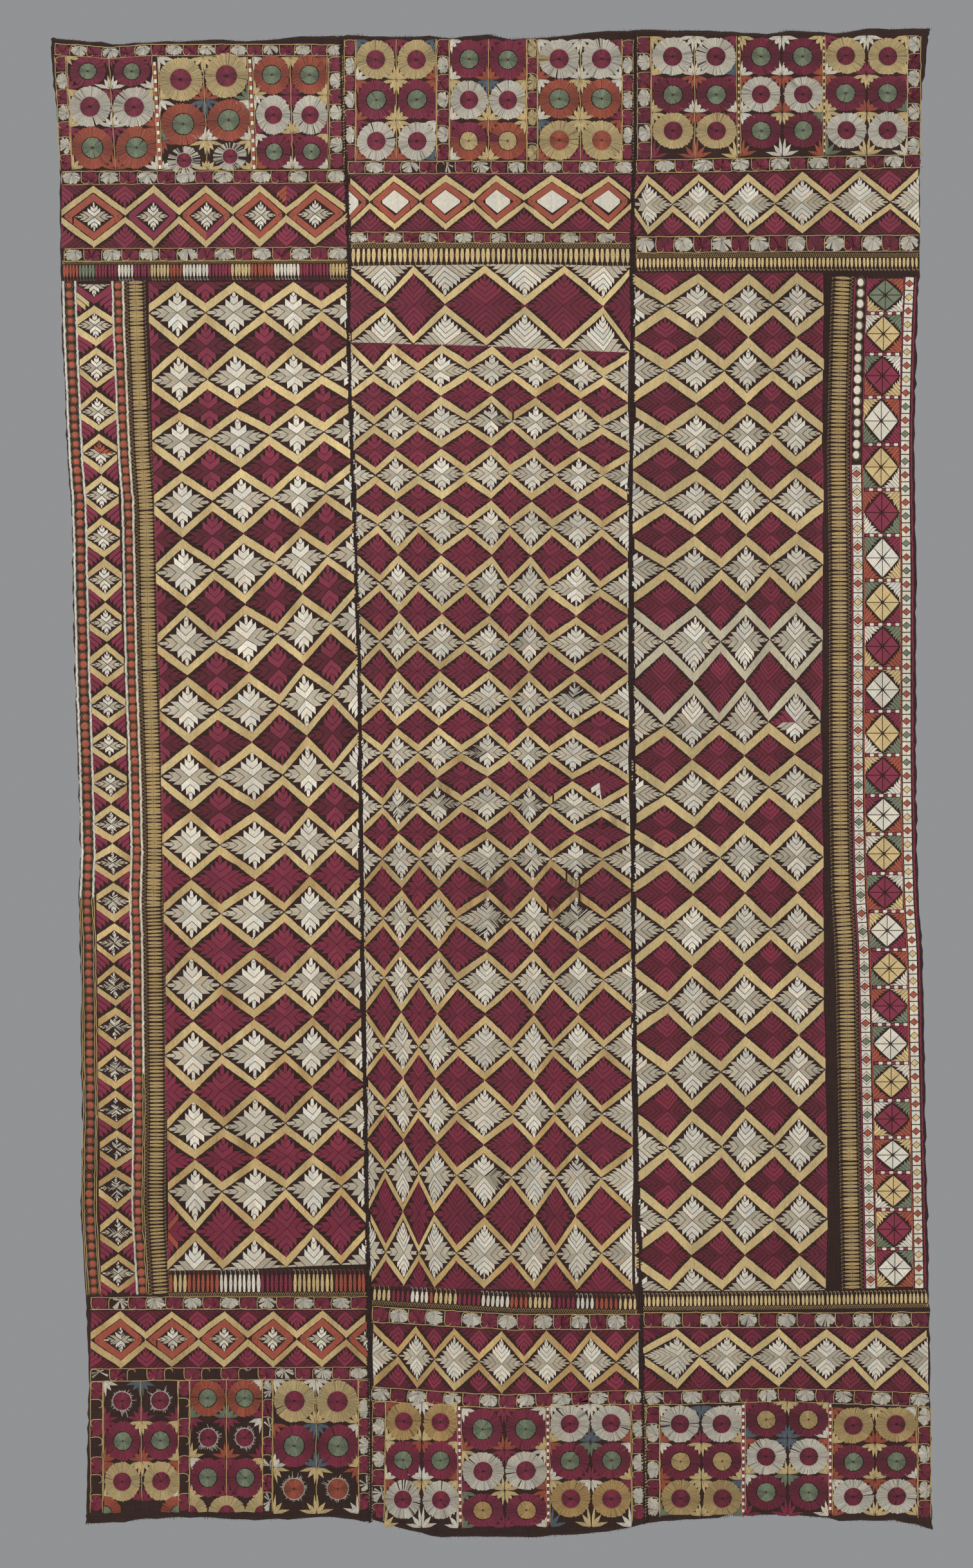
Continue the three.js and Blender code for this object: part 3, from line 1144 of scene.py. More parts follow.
    def work(self, gold: Needlework, pale: Needlework, deep: Needlework) -> None:
        """Stitches the whole lattice.

        Args:
            gold: the piece that the bands go to.
            pale: the piece of the pale stars.
            deep: the piece of the deep stars.
        """
        levels = self.levels()
        grid = self.places(gold.chance)
        kinds = [self.first if number % 2 == 0 else self.first.other for number in range(len(self.columns))]
        pale_star, deep_star = Star(pale, self.pale_cut), Star(deep, self.deep_cut)
        for number in range(len(levels) - 1):
            self._band(gold, pale, levels, grid, kinds, number)
        for number, (kind, _) in enumerate(levels):
            for place, column in enumerate(kinds):
                if column is not kind:
                    continue
                spot = grid[number][place]
                sides = (place > 0, place < len(kinds) - 1)
                halves = (number > 0, number < len(levels) - 1)
                tips = self._tips(grid, number, place)
                self._star(pale_star, deep_star, kind, spot, tips, sides, halves, pale.chance)

    def _band(
        self, gold: Needlework, pale: Needlework, levels: list[tuple[Kind, tuple[float, float, float]]],
        grid: list[list[Point]], kinds: list[Kind], number: int,
    ) -> None:
        """Stitches the band between one row and the next.

        Args:
            gold: the piece of the usual bands.
            pale: the piece of the bands in pale silk.
            levels: what stands on each row, and its heights.
            grid: where each row meets each column.
            kinds: what stands on each column.
            number: the row above the band.
        """
        kind = levels[number][0]
        knots = []
        for place, column in enumerate(kinds):
            if column is kind:
                x, y = grid[number + 1][place]
                knots.append((x, y - self.band - self.gap / 2))
            else:
                x, y = grid[number][place]
                knots.append((x, y + self.gap / 2))
        in_pale = number in self.pale_bands
        zigzag(
            pale if in_pale else gold, knots, self.band, Dye.CREAM if in_pale else self.band_dye,
            shade=self.band_shade * (0.94 if in_pale else 1.0 + 0.05 * gold.chance.standard_normal()),
            amber=float(np.interp(levels[number][1][1], *self.amber)),
        )

    def _tips(self, grid: list[list[Point]], number: int, place: int) -> dict[str, Point]:
        """The four corners of the diamond round one star."""
        line = grid[number]
        spot = line[place]
        clear = self.band + self.gap / 2
        left = line[place - 1] if place > 0 else (spot[0] - self.beyond[0], spot[1])
        right = line[place + 1] if place < len(line) - 1 else (spot[0] + self.beyond[0], spot[1])
        above = grid[number - 1][place] if number > 0 else (spot[0], spot[1] - self.beyond[1])
        below = grid[number + 1][place] if number < len(grid) - 1 else (spot[0], spot[1] + self.beyond[1])
        return {
            "left": (left[0] + self.gap / 2, left[1]), "right": (right[0] - self.gap / 2, right[1]),
            "up": (above[0], above[1] + clear), "down": (below[0], below[1] - clear),
        }


# Motifs of the worked ends and borders


class Track:
    """A line on the chart that a row of motifs follows. Across it, positive is to its right-hand side."""

    def __init__(self, *points: Point) -> None:
        """Takes the points that the line passes."""
        self.points = np.array(points, float)
        steps = np.diff(self.points, axis=0)
        self.marks = np.concatenate(([0.0], np.cumsum(np.hypot(steps[:, 0], steps[:, 1]))))

    @property
    def length(self) -> float:
        """Millimetres from end to end."""
        return float(self.marks[-1])

    def _point(self, along: float) -> Point:
        """The point on the line at a distance from its start."""
        return (float(np.interp(along, self.marks, self.points[:, 0])),
                float(np.interp(along, self.marks, self.points[:, 1])))

    def place(self, along: float, across: float = 0.0) -> Point:
        """The point at a distance along the line and a distance across it."""
        x, y = self._point(along)
        run, _ = unit_between(self._point(along - 4), self._point(along + 4))
        return x - run[1] * across, y + run[0] * across

    def line(self, across: float, pitch: float, sway: Callable[[], float]) -> list[Point]:
        """A hand-laid line beside this one."""
        count = max(2, round(self.length / pitch))
        return [self.place(self.length * step / count, across + sway()) for step in range(count + 1)]


class Stitcher:
    """Lays the motifs of the ends and borders on one piece."""

    # Dye of the cords, brightness of each dye in the rays, and the dyes that count as light
    cord_dye = Dye.OLD_GOLD
    dulled = {Dye.WHITE: 0.68, Dye.GOLD: 0.69, Dye.OLD_GOLD: 0.74, Dye.AMBER: 0.80, Dye.MAGENTA: 0.80,
              Dye.ORANGE: 0.86}
    light_dyes = (Dye.WHITE, Dye.GOLD, Dye.OLD_GOLD, Dye.AMBER)

    # Leaves on one side of a spray, each with its angle from upright, its share of the room and its width,
    # and the dyes that a spray may have, as often as each turns up
    spray = ((5.0, 0.74, 4.6), (36.0, 0.56, 7.0), (76.0, 0.74, 6.2))
    spray_dyes = (
        *[Dye.GOLD] * 6, *[Dye.ORANGE] * 3, *[Dye.WHITE] * 5, *[Dye.MAGENTA] * 3, Dye.GREEN, Dye.BLUE,
    )

    # Width of a cord, spacing of its bends and of a rail's
    cord_width = 1.5
    cord_step = 9.0
    rail_step = 3.4

    # Points on the cord round a core, and how far the core follows its ring's shape
    rim_points = 21
    core_follows = 0.08

    # Width of a ray, the painted shade that darkens it where it runs level, standing for the silk's sheen, in
    # light and in deep dyes, the streaks round a disc, and the wear from which only tufts of it are left
    ray_width = 2.35
    ray_painted_shade = (0.22, 0.40)
    streaks = 12
    tattered = 0.8

    # Rays of a pale and a deep fan, widths of a spindle at its foot, waist and tip, and a cord's hook
    fan_rays = (30, 22)
    spindle = (0.34, 0.54, 0.30)
    hook_shape = (
        (0.02, 0.04), (0.0, 0.45), (0.02, 0.78), (0.12, 0.95), (0.28, 0.97), (0.40, 0.86), (0.42, 0.68),
    )

    def __init__(self, work: Needlework) -> None:
        """Takes the piece that everything goes to."""
        self.work = work
        self.chance = work.chance

    def sway(self) -> float:
        """A small unevenness of the hand."""
        return 0.35 * self.chance.standard_normal()

    def gold_line(self, track: Track, across: float = 0.0) -> None:
        """Couches one cord beside a track."""
        path = track.line(across, self.cord_step, self.sway)
        self.work.cord(path, self.cord_width, self.work.tint(self.cord_dye, 0.06, 1.05))

    def rail(self, track: Track, width: float, dye: Dye) -> None:
        """Works a narrow satin band along a track.

        Args:
            track: middle of the band.
            width: its width.
            dye: its colour.
        """
        path = track.line(0.0, self.rail_step, self.sway)
        worn = np.array([wear_at(*spot) for spot in path])
        shades = self.chance.normal(0.86, 0.09, len(path))
        shades = shades - 0.7 * worn * self.chance.random(len(path)) - 0.25 * worn
        self.work.cord(path, width, self.work.tint(dye, 0.03), 0.4, 0.3, 0, shades)

    def dashes(self, track: Track, width: float, dyes: tuple[Dye, Dye], count: int) -> None:
        """Works blocks of two dyes in turn along a track.

        Args:
            track: middle of the line.
            width: width of the wider blocks.
            dyes: colours of the narrower and the wider blocks.
            count: how many blocks.
        """
        step = track.length / count
        for number in range(count):
            tail, head = track.place(number * step + 0.2), track.place((number + 1) * step - 0.2)
            dye = dyes[number % 2]
            size = width * (1.0 if number % 2 else 0.86)
            self.work.line(tail, head, size, self.work.tint(dye, 0.06), 0.7)

    def medallion(
        self, at: Point, radii: Point, core: float, dyes: tuple[Dye, Dye], foot: float,
        turns: Point = (0.0, 1.0),
    ) -> None:
        """Works a rayed disc with a smaller disc in it, or a part of one.

        Args:
            at: its centre.
            radii: half its width and half its height.
            core: radius of the inner disc.
            dyes: colours of the outer ring and the inner disc.
            foot: height on the chart below which nothing is worked.
            turns: where its rays start and end, as shares of a full turn.
        """
        outer, inner = dyes
        core_radii = tuple(core + (radius - core) * self.core_follows for radius in radii)
        worn = wear_at(*at, outer is Dye.WHITE) + (0.10 if outer is Dye.WHITE else 0.03)
        span = turns[1] - turns[0]
        rim, last = move(core_radii, ((1.0, 1.0), 0.6)), self.rim_points - 1
        ring = [self._spoke(at, rim, turns[0] + span * (0.01 + step / last)) for step in range(last + 1)]
        self._rays(at, move(core_radii, ((1.0, 1.0), 1.1)), radii, outer, foot, worn, turns)
        ring = [spot for spot in ring if spot[1] < foot]
        if len(ring) > 4 and outer in self.light_dyes:
            self.work.cord(ring, 1.3, self.work.tint(outer, 0.05, 0.85), 0.8)
        self._rays(at, (1.1, 1.1), core_radii, inner, foot, 0.04, turns)

    def _spoke(self, at: Point, radii: Point, turn: float) -> Point:
        """The point of an oval at a share of a full turn."""
        angle = 2 * math.pi * turn
        return at[0] + radii[0] * math.cos(angle), at[1] + radii[1] * math.sin(angle)

    @staticmethod
    def _cut(near: Point, far: Point, foot: float) -> Point:
        """The far end of a ray, or the place where the ray meets the foot if that comes first."""
        if far[1] <= foot:
            return far
        reach = (foot - near[1]) / (far[1] - near[1])
        return near[0] + (far[0] - near[0]) * reach, foot

    def _rays(
        self, at: Point, inner: Point, outer: Point, dye: Dye, foot: float, worn: float, turns: Point,
    ) -> None:
        """Works the rays between two ovals, which the hand never draws quite even.

        Args:
            at: middle of the ovals.
            inner: half the width and half the height of the inner one.
            outer: the same of the outer one.
            dye: colour of the rays.
            foot: height on the chart below which nothing is worked.
            worn: wear of the silk, from 0 to 1, or more where only tufts are left.
            turns: where the rays start and end, as shares of a full turn.
        """
        span = turns[1] - turns[0]
        count = round(math.pi * (outer[0] + outer[1]) * span / self.ray_width)
        painted_shade_loss = self.ray_painted_shade[0 if dye in self.light_dyes else 1]
        tones = self.chance.normal(1, 0.06, self.streaks)
        bulge, lean = self.chance.uniform(0, 2 * math.pi, 2)
        for ray in range(count):
            turn = turns[0] + span * (ray + 0.5 + 0.08 * self.chance.standard_normal()) / count
            angle = 2 * math.pi * turn
            tail = self._spoke(at, inner, turn)
            uneven = 1 + 0.018 * math.sin(2 * angle + bulge) + 0.014 * math.sin(3 * angle + lean)
            head = self._spoke(at, scaled(outer, uneven + 0.018 * self.chance.standard_normal()), turn)
            if min(tail[1], head[1]) > foot - 2:
                continue
            tail, head = self._cut(head, tail, foot), self._cut(tail, head, foot)
            tone = float(tones[int(self.streaks * turn) % self.streaks])
            # Rays that run level are painted darker: painted shade for the silk's sheen
            shade = tone * (1 - painted_shade_loss * (1 - abs(math.sin(angle)) ** 1.5))
            fate = self.chance.random()
            if worn > self.tattered:
                if fate < 0.35:
                    continue
                tuft = 0.5 + 0.5 * math.sin(3 * angle + bulge) * math.sin(2 * angle + lean)
                left = 0.08 + 0.85 * tuft ** 2 * self.chance.random() ** 1.5
                head = move(tail, ((head[0] - tail[0], head[1] - tail[1]), left))
                head = move(head, ((self.chance.normal(0, 1.3), self.chance.normal(0, 1.3)), 1.0))
                shade *= 0.85
            elif fate < worn * worn:
                continue
            elif fate < worn:
                shade *= 0.6
            inner_half, outer_half = (
                math.pi * (oval[0] + oval[1]) / 2 * span / count * 1.08 for oval in (inner, outer)
            )
            way, _ = unit_between(tail, head)
            side = (-way[1], way[0])
            if worn > self.tattered:
                outer_half *= 0.3
            own = swapped(dye, *head)
            self.work.stitch(tail, head, scaled(side, max(0.35, inner_half)), scaled(side, outer_half),
                             self.work.tint(own, 0.06, shade * self.dulled.get(dye, 1.0)), 0.55, 0.15)

    def scallops(self, track: Track, depth: float, cells: int, first: Kind = Kind.DEEP) -> None:
        """Works a row of small fans in two dyes with a scrolling cord round them.

        Args:
            track: one long edge of the row.
            depth: width of the row, to the track's right-hand side.
            cells: how many fans.
            first: dye of the first one.
        """
        width = track.length / cells
        for number in range(cells):
            kind = first if number % 2 == 0 else first.other
            more = 0.03 if kind is Kind.PALE else -0.03
            start, own = (number - more) * width, (1 + 2 * more) * width
            self._fan(track, start, own * (1 + 0.03 * self.chance.standard_normal()), depth, kind)
            self._hook(track, start, own, depth, kind)
        self.gold_line(track, 0.0)
        self.gold_line(track, depth)

    def _fan(self, track: Track, start: float, width: float, depth: float, kind: Kind) -> None:
        """Works the rays of one fan, from near a long side out to a rounded oblong.

        Args:
            track: one long edge of the row.
            start: where the fan's cell starts on the track.
            width: width of the cell.
            depth: depth of the row.
            kind: whether the fan is pale or deep.
        """
        pale = kind is Kind.PALE
        spot = (width * (0.5 + 0.06 * self.chance.standard_normal()), depth * (0.24 if pale else 0.72))
        half = (width / 2 - 1.5, depth / 2 - 1.3)
        rays = self.fan_rays[0 if pale else 1]
        worn = wear_at(*track.place(start + width / 2, depth / 2), pale) + (0.03 if pale else 0)
        origin = track.place(start + spot[0], spot[1])
        for ray in range(rays):
            if self.chance.random() < worn:
                continue
            angle = 2 * math.pi * (ray + 0.15 * self.chance.standard_normal()) / rays
            way = (math.cos(angle), math.sin(angle))
            reach = self._reach(spot, way, width, depth, half, 2.3 if pale else 3.0)
            reach *= 1 + (0.055 if pale else 0.03) * self.chance.standard_normal()
            if reach < 1.2:
                continue
            head = track.place(start + spot[0] + way[0] * reach, spot[1] + way[1] * reach)
            run, _ = unit_between(origin, head)
            spread = math.pi * reach / rays * (1.2 if pale else 1.7)
            side = (-run[1], run[0])
            dye = swapped(Dye.WHITE if pale else Dye.MAGENTA, *origin)
            self.work.stitch(origin, head, scaled(side, 0.3), scaled(side, max(0.5, spread)),
                             self.work.tint(dye, 0.16, 0.58 if pale else 0.66), 0.6)

    @staticmethod
    def _reach(spot: Point, way: Point, width: float, depth: float, half: Point, bend: float) -> float:
        """How far a ray goes before it meets the rounded oblong of its cell, squarer for a larger bend."""
        low, high = 0.0, width
        for _ in range(9):
            reach = (low + high) / 2
            u = abs(spot[0] + way[0] * reach - width / 2) / half[0]
            v = abs(spot[1] + way[1] * reach - depth / 2) / half[1]
            if u ** bend + v ** bend < 1:
                low = reach
            else:
                high = reach
        return low

    def _hook(self, track: Track, start: float, width: float, depth: float, kind: Kind) -> None:
        """Lays the cord down one side of a fan and round into a hook."""
        path = []
        for u, v in self.hook_shape:
            v = 1 - v if kind is Kind.PALE else v
            path.append(track.place(start + u * width + self.sway() * 0.6, v * depth))
        self.work.cord(path, self.cord_width, self.work.tint(self.cord_dye, 0.07, 1.08), 1.0, 0.15)

    def comb(self, plan: "Comb") -> None:
        """Works a row of spindles with hooks at one end and crossing cords at the other.

        Args:
            plan: the row's line, sizes and dyes.
        """
        track = Track(*plan.route)
        count = round(track.length / plan.pitch)
        pitch = track.length / count
        for number in range(count):
            along = (number + 0.5) * pitch + self.sway() * 0.8
            spot = track.place(along, plan.bar / 2)
            if self.chance.random() < wear_at(*spot) * 0.5:
                continue
            dye = self._comb_dye(plan, spot)
            tone = self.work.tint(dye, 0.07, plan.shade)
            thick = plan.thick * (1 + 0.08 * self.chance.standard_normal())
            lean = self.sway() * 0.8
            tail, waist = track.place(along, 0.5), track.place(along + lean / 2, 0.5 * plan.body * plan.bar)
            head = track.place(along + lean, plan.body * plan.bar)
            side, _ = unit_between(track.place(along - 1), track.place(along + 1))
            low, wide, high = (scaled(side, thick * share) for share in self.spindle)
            self.work.stitch(tail, waist, low, wide, tone, 0.8)
            self.work.stitch(waist, head, wide, high, tone, 0.8)
            hook = (
                (0.0, plan.body, 0.0), (0.0, 1.0, -0.5), (0.12, 1.0, plan.hook * 0.8), (0.38, 1.0, plan.hook),
                (0.55, 1.0, plan.hook * 0.4),
            )
            path = [track.place(along + lean + u * pitch, v * plan.bar + w) for u, v, w in hook]
            self.work.cord(path, 1.1, self.work.tint(dye, 0.05, plan.shade * 0.85), 0.6)
        self._crossing(track, plan, pitch, count)

    @staticmethod
    def _comb_dye(plan: "Comb", spot: Point) -> Dye:
        """The dye of a spindle by its place from left to right."""
        for until, dye in plan.dyes:
            if spot[0] < until:
                return dye
        return plan.dyes[-1][1]

    def _crossing(self, track: Track, plan: "Comb", pitch: float, count: int) -> None:
        """Lays two zigzag cords that cross, beside the foot of the spindles."""
        for phase in range(plan.strands):
            path = []
            for step in range(2 * count + 1):
                near = (step + phase) % 2
                across = -0.4 if near else -plan.lattice
                path.append(track.place(step * pitch / 2 + self.sway() * 0.5, across + self.sway() * 0.5))
            self.work.cord(path, 1.3, self.work.tint(self.cord_dye, 0.05, 1.1), 0.7)

    def rosette(self, at: Point, up: float, down: float, left: float, right: float) -> None:
        """Works two sprays of pointed leaves, one up and one down, in the space between round motifs.

        Args:
            at: middle of the space.
            up: room upwards, or 0 for none.
            down: the same downwards.
            left: the same to the left.
            right: the same to the right.
        """
        for tall, way in ((up, -1), (down, 1)):
            dye = self.spray_dyes[int(self.chance.integers(0, len(self.spray_dyes)))]
            if tall < 6 or self.chance.random() < wear_at(*at, dye is Dye.WHITE) - 0.2:
                continue
            for wide, hand in ((left, -1), (right, 1)):
                if wide < 6:
                    continue
                for turn, share, thick in self.spray:
                    angle = math.radians(turn + 3 * self.chance.standard_normal())
                    run = (hand * math.sin(angle), way * math.cos(angle))
                    reach = share * math.hypot(tall * run[1], wide * run[0])
                    tail = move(at, ((hand * 1.5, way * 1.2), 1.0))
                    waist, head = move(tail, (run, 0.5 * reach)), move(tail, (run, reach))
                    # Leaves that run nearer level are painted darker: painted shade for the silk's sheen
                    tone = self.work.tint(dye, 0.05, 0.76 if turn < 45 else 0.66)
                    side = (-run[1], run[0])
                    half = scaled(side, thick / 2)
                    self.work.stitch(tail, waist, scaled(side, thick / 5), half, tone, 0.4)
                    self.work.stitch(waist, head, half, scaled(side, 0.15), tone, 0.4)

    def pinwheel(self, cell: "Cell", dye: Dye) -> None:
        """Works a diamond of eight parts in an oblong cell.

        Args:
            cell: the oblong that it fills.
            dye: its colour.
        """
        wide, tall = cell.across / 2 - 0.8, cell.down / 2 - 1.0
        worn = wear_at(*cell.middle)
        for hand, way, upright in product((-1, 1), (-1, 1), (True, False)):
            long, short = (tall, wide) if upright else (wide, tall)
            foot, corner = (0.5, (long + 1.0) / 2), (short / 2 - 0.2, long / 2 + 0.3)
            spots = []
            for beside, along in (foot, corner, (0.0, long / 2 - 1.4)):
                x, y = (beside, along) if upright else (along, beside)
                spots.append((hand * x, way * y))
            tail, head = (move(cell.middle, (spot, 1.0)) for spot in spots[:2])
            # The upright parts, whose threads run level, are painted darker: painted shade for the silk's
            # sheen
            tone = self.work.tint(dye, 0.04, (0.94 if upright else 1.0) * (1 - 0.3 * worn))
            self.work.stitch(tail, head, spots[2], (0.0, 0.0), tone, 0.5, lay=Lay.ALONG)

    def sprays(self, cell: "Cell", dyes: Sequence[Dye]) -> None:
        """Works leaves in the four corners of a cell.

        Args:
            cell: the oblong.
            dyes: colours of the corners, left and right at the top, then at the foot.
        """
        cut = LeafCut(6.4, 6.6, 0.5, 1.6, 2.6, 0.4)
        star = Star(self.work, cut)
        left, right = cell.middle[0] - cell.across / 2, cell.middle[0] + cell.across / 2
        top, foot = cell.middle[1] - cell.down / 2, cell.middle[1] + cell.down / 2
        corners = ((left, top), (right, top), (left, foot), (right, foot))
        for corner, dye in zip(corners, dyes):
            part = Quarter(corner, (corner[0], cell.middle[1]), (cell.middle[0], corner[1]))
            # The level arm is painted darker: painted shade for the silk's sheen
            star.quarter(part, dye, dye, (1.0, 0.9))

    def lozenge(self, track: Track, along: float, pitch: float, width: float, size: Point, dye: Dye | None,
                framed: bool) -> None:
        """Works one pale cell of a band with a small diamond in it.

        Args:
            track: middle of the band.
            along: the cell's middle on the track.
            pitch: height of the cell.
            width: width of the band.
            size: half the width and half the height of the diamond.
            dye: colour of the diamond, or None for a plain cell.
            framed: whether a pale frame parts the diamond from the cell.
        """
        half, edge = width / 2, pitch / 2 - 0.7
        for hand in (-1, 1):
            for way in (-1, 1):
                marks = [(edge, edge)]
                if framed:
                    marks += [(size[1] + 5.4, 4.0), (size[1] + 4.4, 3.0)]
                if dye:
                    marks += [(size[1] + 0.9, 0.5)]
                else:
                    marks += [(0.0, 0.0)]
                for outer, inner in zip(marks[0::2], marks[1::2]):
                    self._lozenge_part(track, along, (hand * half, way), outer, inner, Dye.WHITE)
            if dye:
                reach = hand * size[0] / 2
                ends = [track.place(along + way * size[1] / 2, reach) for way in (-1, 1)]
                centre = track.place(along)
                side = unit_between(centre, track.place(along, hand * 5.0))[0]
                down = unit_between(centre, track.place(along + 5.0))[0]
                halves = [
                    move((0.0, 0.0), (side, size[0] / 2), (down, -way * size[1] / 2)) for way in (-1, 1)
                ]
                self.work.stitch(*ends, *halves, self.work.tint(dye, 0.05), 0.55)

    def _lozenge_part(
        self, track: Track, along: float, corner: Point, outer: Point, inner: Point, dye: Dye
    ) -> None:
        """Lays a quarter of one pale part of a cell.

        Args:
            track: middle of the band.
            along: the cell's middle on the track.
            corner: half the band's width, signed, and which way along the track.
            outer: distance of its outer edge at the track and at the band's side.
            inner: the same of its inner edge.
            dye: its colour.
        """
        worn = wear_at(*track.place(along))
        if self.chance.random() < worn * 0.5:
            return
        half, way = corner
        spots = []
        for near, far in (outer, inner):
            middle, side = track.place(along + way * near, 0.0), track.place(along + way * far, half)
            spots.append((((middle[0] + side[0]) / 2, (middle[1] + side[1]) / 2),
                          ((side[0] - middle[0]) / 2, (side[1] - middle[1]) / 2)))
        shade = 0.96 * (1 - 0.3 * worn * self.chance.random())
        (tail, first), (head, last) = spots
        self.work.stitch(tail, head, first, last, self.work.tint(dye, 0.04, shade), 0.5)

    def beads(self, track: Track, pitch: float, size: Point, dye: Dye) -> None:
        """Works a chain of rounded dots with two waving cords round them.

        Args:
            track: middle of the chain.
            pitch: distance from dot to dot.
            size: half the width and half the height of a dot.
            dye: its colour.
        """
        count = round(track.length / pitch)
        step = track.length / count
        for number in range(count):
            spot = track.place((number + 0.5) * step + self.sway(), self.sway())
            worn = wear_at(*spot)
            if self.chance.random() < worn * 0.6:
                continue
            grow = 1 + 0.06 * self.chance.standard_normal()
            self.work.seed(spot, size[0] * grow, size[1] * grow, self.work.tint(dye, 0.06), 1.0)
        for hand in (-1, 1):
            path = []
            for number in range(count * 6 + 1):
                phase = number / 6
                reach = (size[0] + 1.1) * abs(math.sin(math.pi * phase)) ** 0.7
                path.append(track.place(phase * step, hand * max(0.5, reach)))
            self.work.cord(path, 0.9, self.work.tint(Dye.OLD_GOLD, 0.05, 0.5), 0.6)


@dataclass(frozen=True)
class Comb:
    """A row of spindles: the line that their feet stand on, their sizes and their dyes."""

    route: tuple[Point, ...]
    bar: float
    pitch: float
    dyes: tuple[tuple[float, Dye], ...]
    lattice: float = 7.0
    hook: float = 3.0
    thick: float = 4.3
    shade: float = 0.88
    body: float = 0.86
    strands: int = 2


@dataclass(frozen=True)
class Cell:
    """An oblong on the chart."""

    middle: Point
    across: float
    down: float


@dataclass(frozen=True)
class Block:
    """A block of medallions in two columns.

    It has its sides at its top and its foot, the height, the dyes and, where they aren't worked out, the
    half heights of its rows, how far the second column hangs below the first, the columns as shares of
    its width, and the size of a core. The tail is what shows of one more row at the foot.
    """

    left: Point
    right: Point
    top: float
    foot: float
    rows: tuple[float, ...]
    dyes: tuple[tuple[Dye, Dye], ...]
    rises: tuple[float, ...] = ()
    skew: float = 0.0
    shares: Point = (0.25, 0.76)
    core: float = 0.44
    tail: tuple[Dye, Dye] | None = None
    tail_parts: tuple[tuple[float, float, float], ...] = ((0.0, 0.75, 1.0), (1.0, 0.5, 0.75))
    spine: bool = True

    def side(self, hand: Point, y: float) -> float:
        """Where one side of the block is at a height."""
        return float(np.interp(y, (self.top, self.foot), hand))

    def across(self, share: float, y: float) -> float:
        """The place at a share of the block's width."""
        left, right = self.side(self.left, y), self.side(self.right, y)
        return left + share * (right - left)

    def work(self, hand: Stitcher, foot: float) -> None:
        """Works the medallions and the leaves between them.

        Args:
            hand: what lays the motifs.
            foot: height on the chart below which nothing is worked.
        """
        limits = (2 * self.top - self.rows[0], *self.rows, 2 * self.foot - self.rows[-1])
        for number, (y, dyes) in enumerate(zip(self.rows, self.dyes)):
            near = (y - limits[number]) / 2
            far = (limits[number + 2] - y) / 2
            spread = (self.across(self.shares[1], y) - self.across(self.shares[0], y)) / 2
            rise = self.rises[number] if self.rises else min(min(near, far) - 0.5, spread * 1.12)
            for share, drop in zip(self.shares, (-self.skew / 2, self.skew / 2)):
                spot = (self.across(share, y) + hand.sway(), y + drop + hand.sway())
                radii = (min(spread - 1.7, rise * 1.22), rise)
                hand.medallion(spot, radii, self.core * sum(radii) / 2, dyes, foot)
        if self.tail:
            for share, *turns in self.tail_parts:
                spot = (self.across(share, foot), foot + 1.0)
                hand.medallion(spot, (28.0, 28.0), 11.0, self.tail, foot, turns)
        self._leaves(hand, limits, foot)
        for share in (0.0, 0.505, 1.0) if self.spine else (0.0, 1.0):
            ends = [(self.across(share, y), y) for y in (self.top, self.foot)]
            hand.gold_line(Track(*ends))

    def _leaves(self, hand: Stitcher, limits: tuple[float, ...], foot: float) -> None:
        """Works the rosettes at the middle and the half rosettes at the edges."""
        between = [(a + b) / 2 for a, b in zip(limits[:-1], limits[1:])]
        for number, y in enumerate(between):
            if y > foot + 12 and number < len(between) - 1:
                continue
            y = foot + 2 if number == len(between) - 1 and abs(foot - y) < 14 else y
            up = 0.0 if number == 0 else y - limits[number]
            down = 0.0 if number == len(between) - 1 else limits[number + 1] - y
            marks = (0.0, self.shares[0], 0.505, self.shares[1], 1.0)
            places = [self.across(mark, y) for mark in marks]
            for spot in (0, 2, 4):
                left = places[spot] - places[spot - 1] if spot else 0.0
                right = places[spot + 1] - places[spot] if spot < 4 else 0.0
                hand.rosette((places[spot], y), up, down, left, right)


@dataclass(frozen=True)
class Fans:
    """A row or column of fans: its track, its depth and how many."""

    route: tuple[Point, ...]
    depth: float
    cells: int
    first: Kind = Kind.DEEP


@dataclass(frozen=True)
class Dashes:
    """A line of blocks in two dyes."""

    route: tuple[Point, ...]
    width: float
    dyes: tuple[Dye, Dye]
    count: int


@dataclass(frozen=True)
class WorkedEnd:
    """The deep worked end of one length: medallions, fans, a band of diamonds and a comb.

    Nothing is worked below its foot.
    """

    name: str
    blocks: tuple[Block, ...]
    fans: tuple[Fans, ...]
    dashes: tuple[Dashes, ...]
    comb: Comb
    band: Lattice
    foot: float = OFF_THE_CLOTH

    def build(self, seed: int, finishes: Sequence[Material]) -> list[Object]:
        """Works the whole end.

        Args:
            seed: start of its random numbers.
            finishes: materials of silk and cord.

        Returns:
            Its two pieces: the medallions, and the rows with their diamonds.
        """
        rounds = Needlework(f"{self.name}_medallions", seed)
        hand = Stitcher(rounds)
        for block in self.blocks:
            block.work(hand, self.foot)
        rows = Needlework(f"{self.name}_rows", seed + 1)
        hand = Stitcher(rows)
        for fans in self.fans:
            hand.scallops(Track(*fans.route), fans.depth, fans.cells, fans.first)
        for line in self.dashes:
            hand.dashes(Track(*line.route), line.width, line.dyes, line.count)
        hand.comb(self.comb)
        self.band.work(rows, rows, rows)
        return [rounds.build(*finishes), rows.build(*finishes)]


@dataclass(frozen=True)
class ClothSizes:
    """Grid and edges of the cloth meshes, in millimetres."""

    across: float = 16.0
    down: float = 11.0
    wobble: float = 0.8
    turned: tuple[float, ...] = (0.0, 4.0, 9.0, 13.0, 18.0)
    selvedge: tuple[float, ...] = (0.0, 4.0, 9.0)
    ridge: float = 0.6
    fold_share: float = 1.002
    hem_turns: float = 52.0


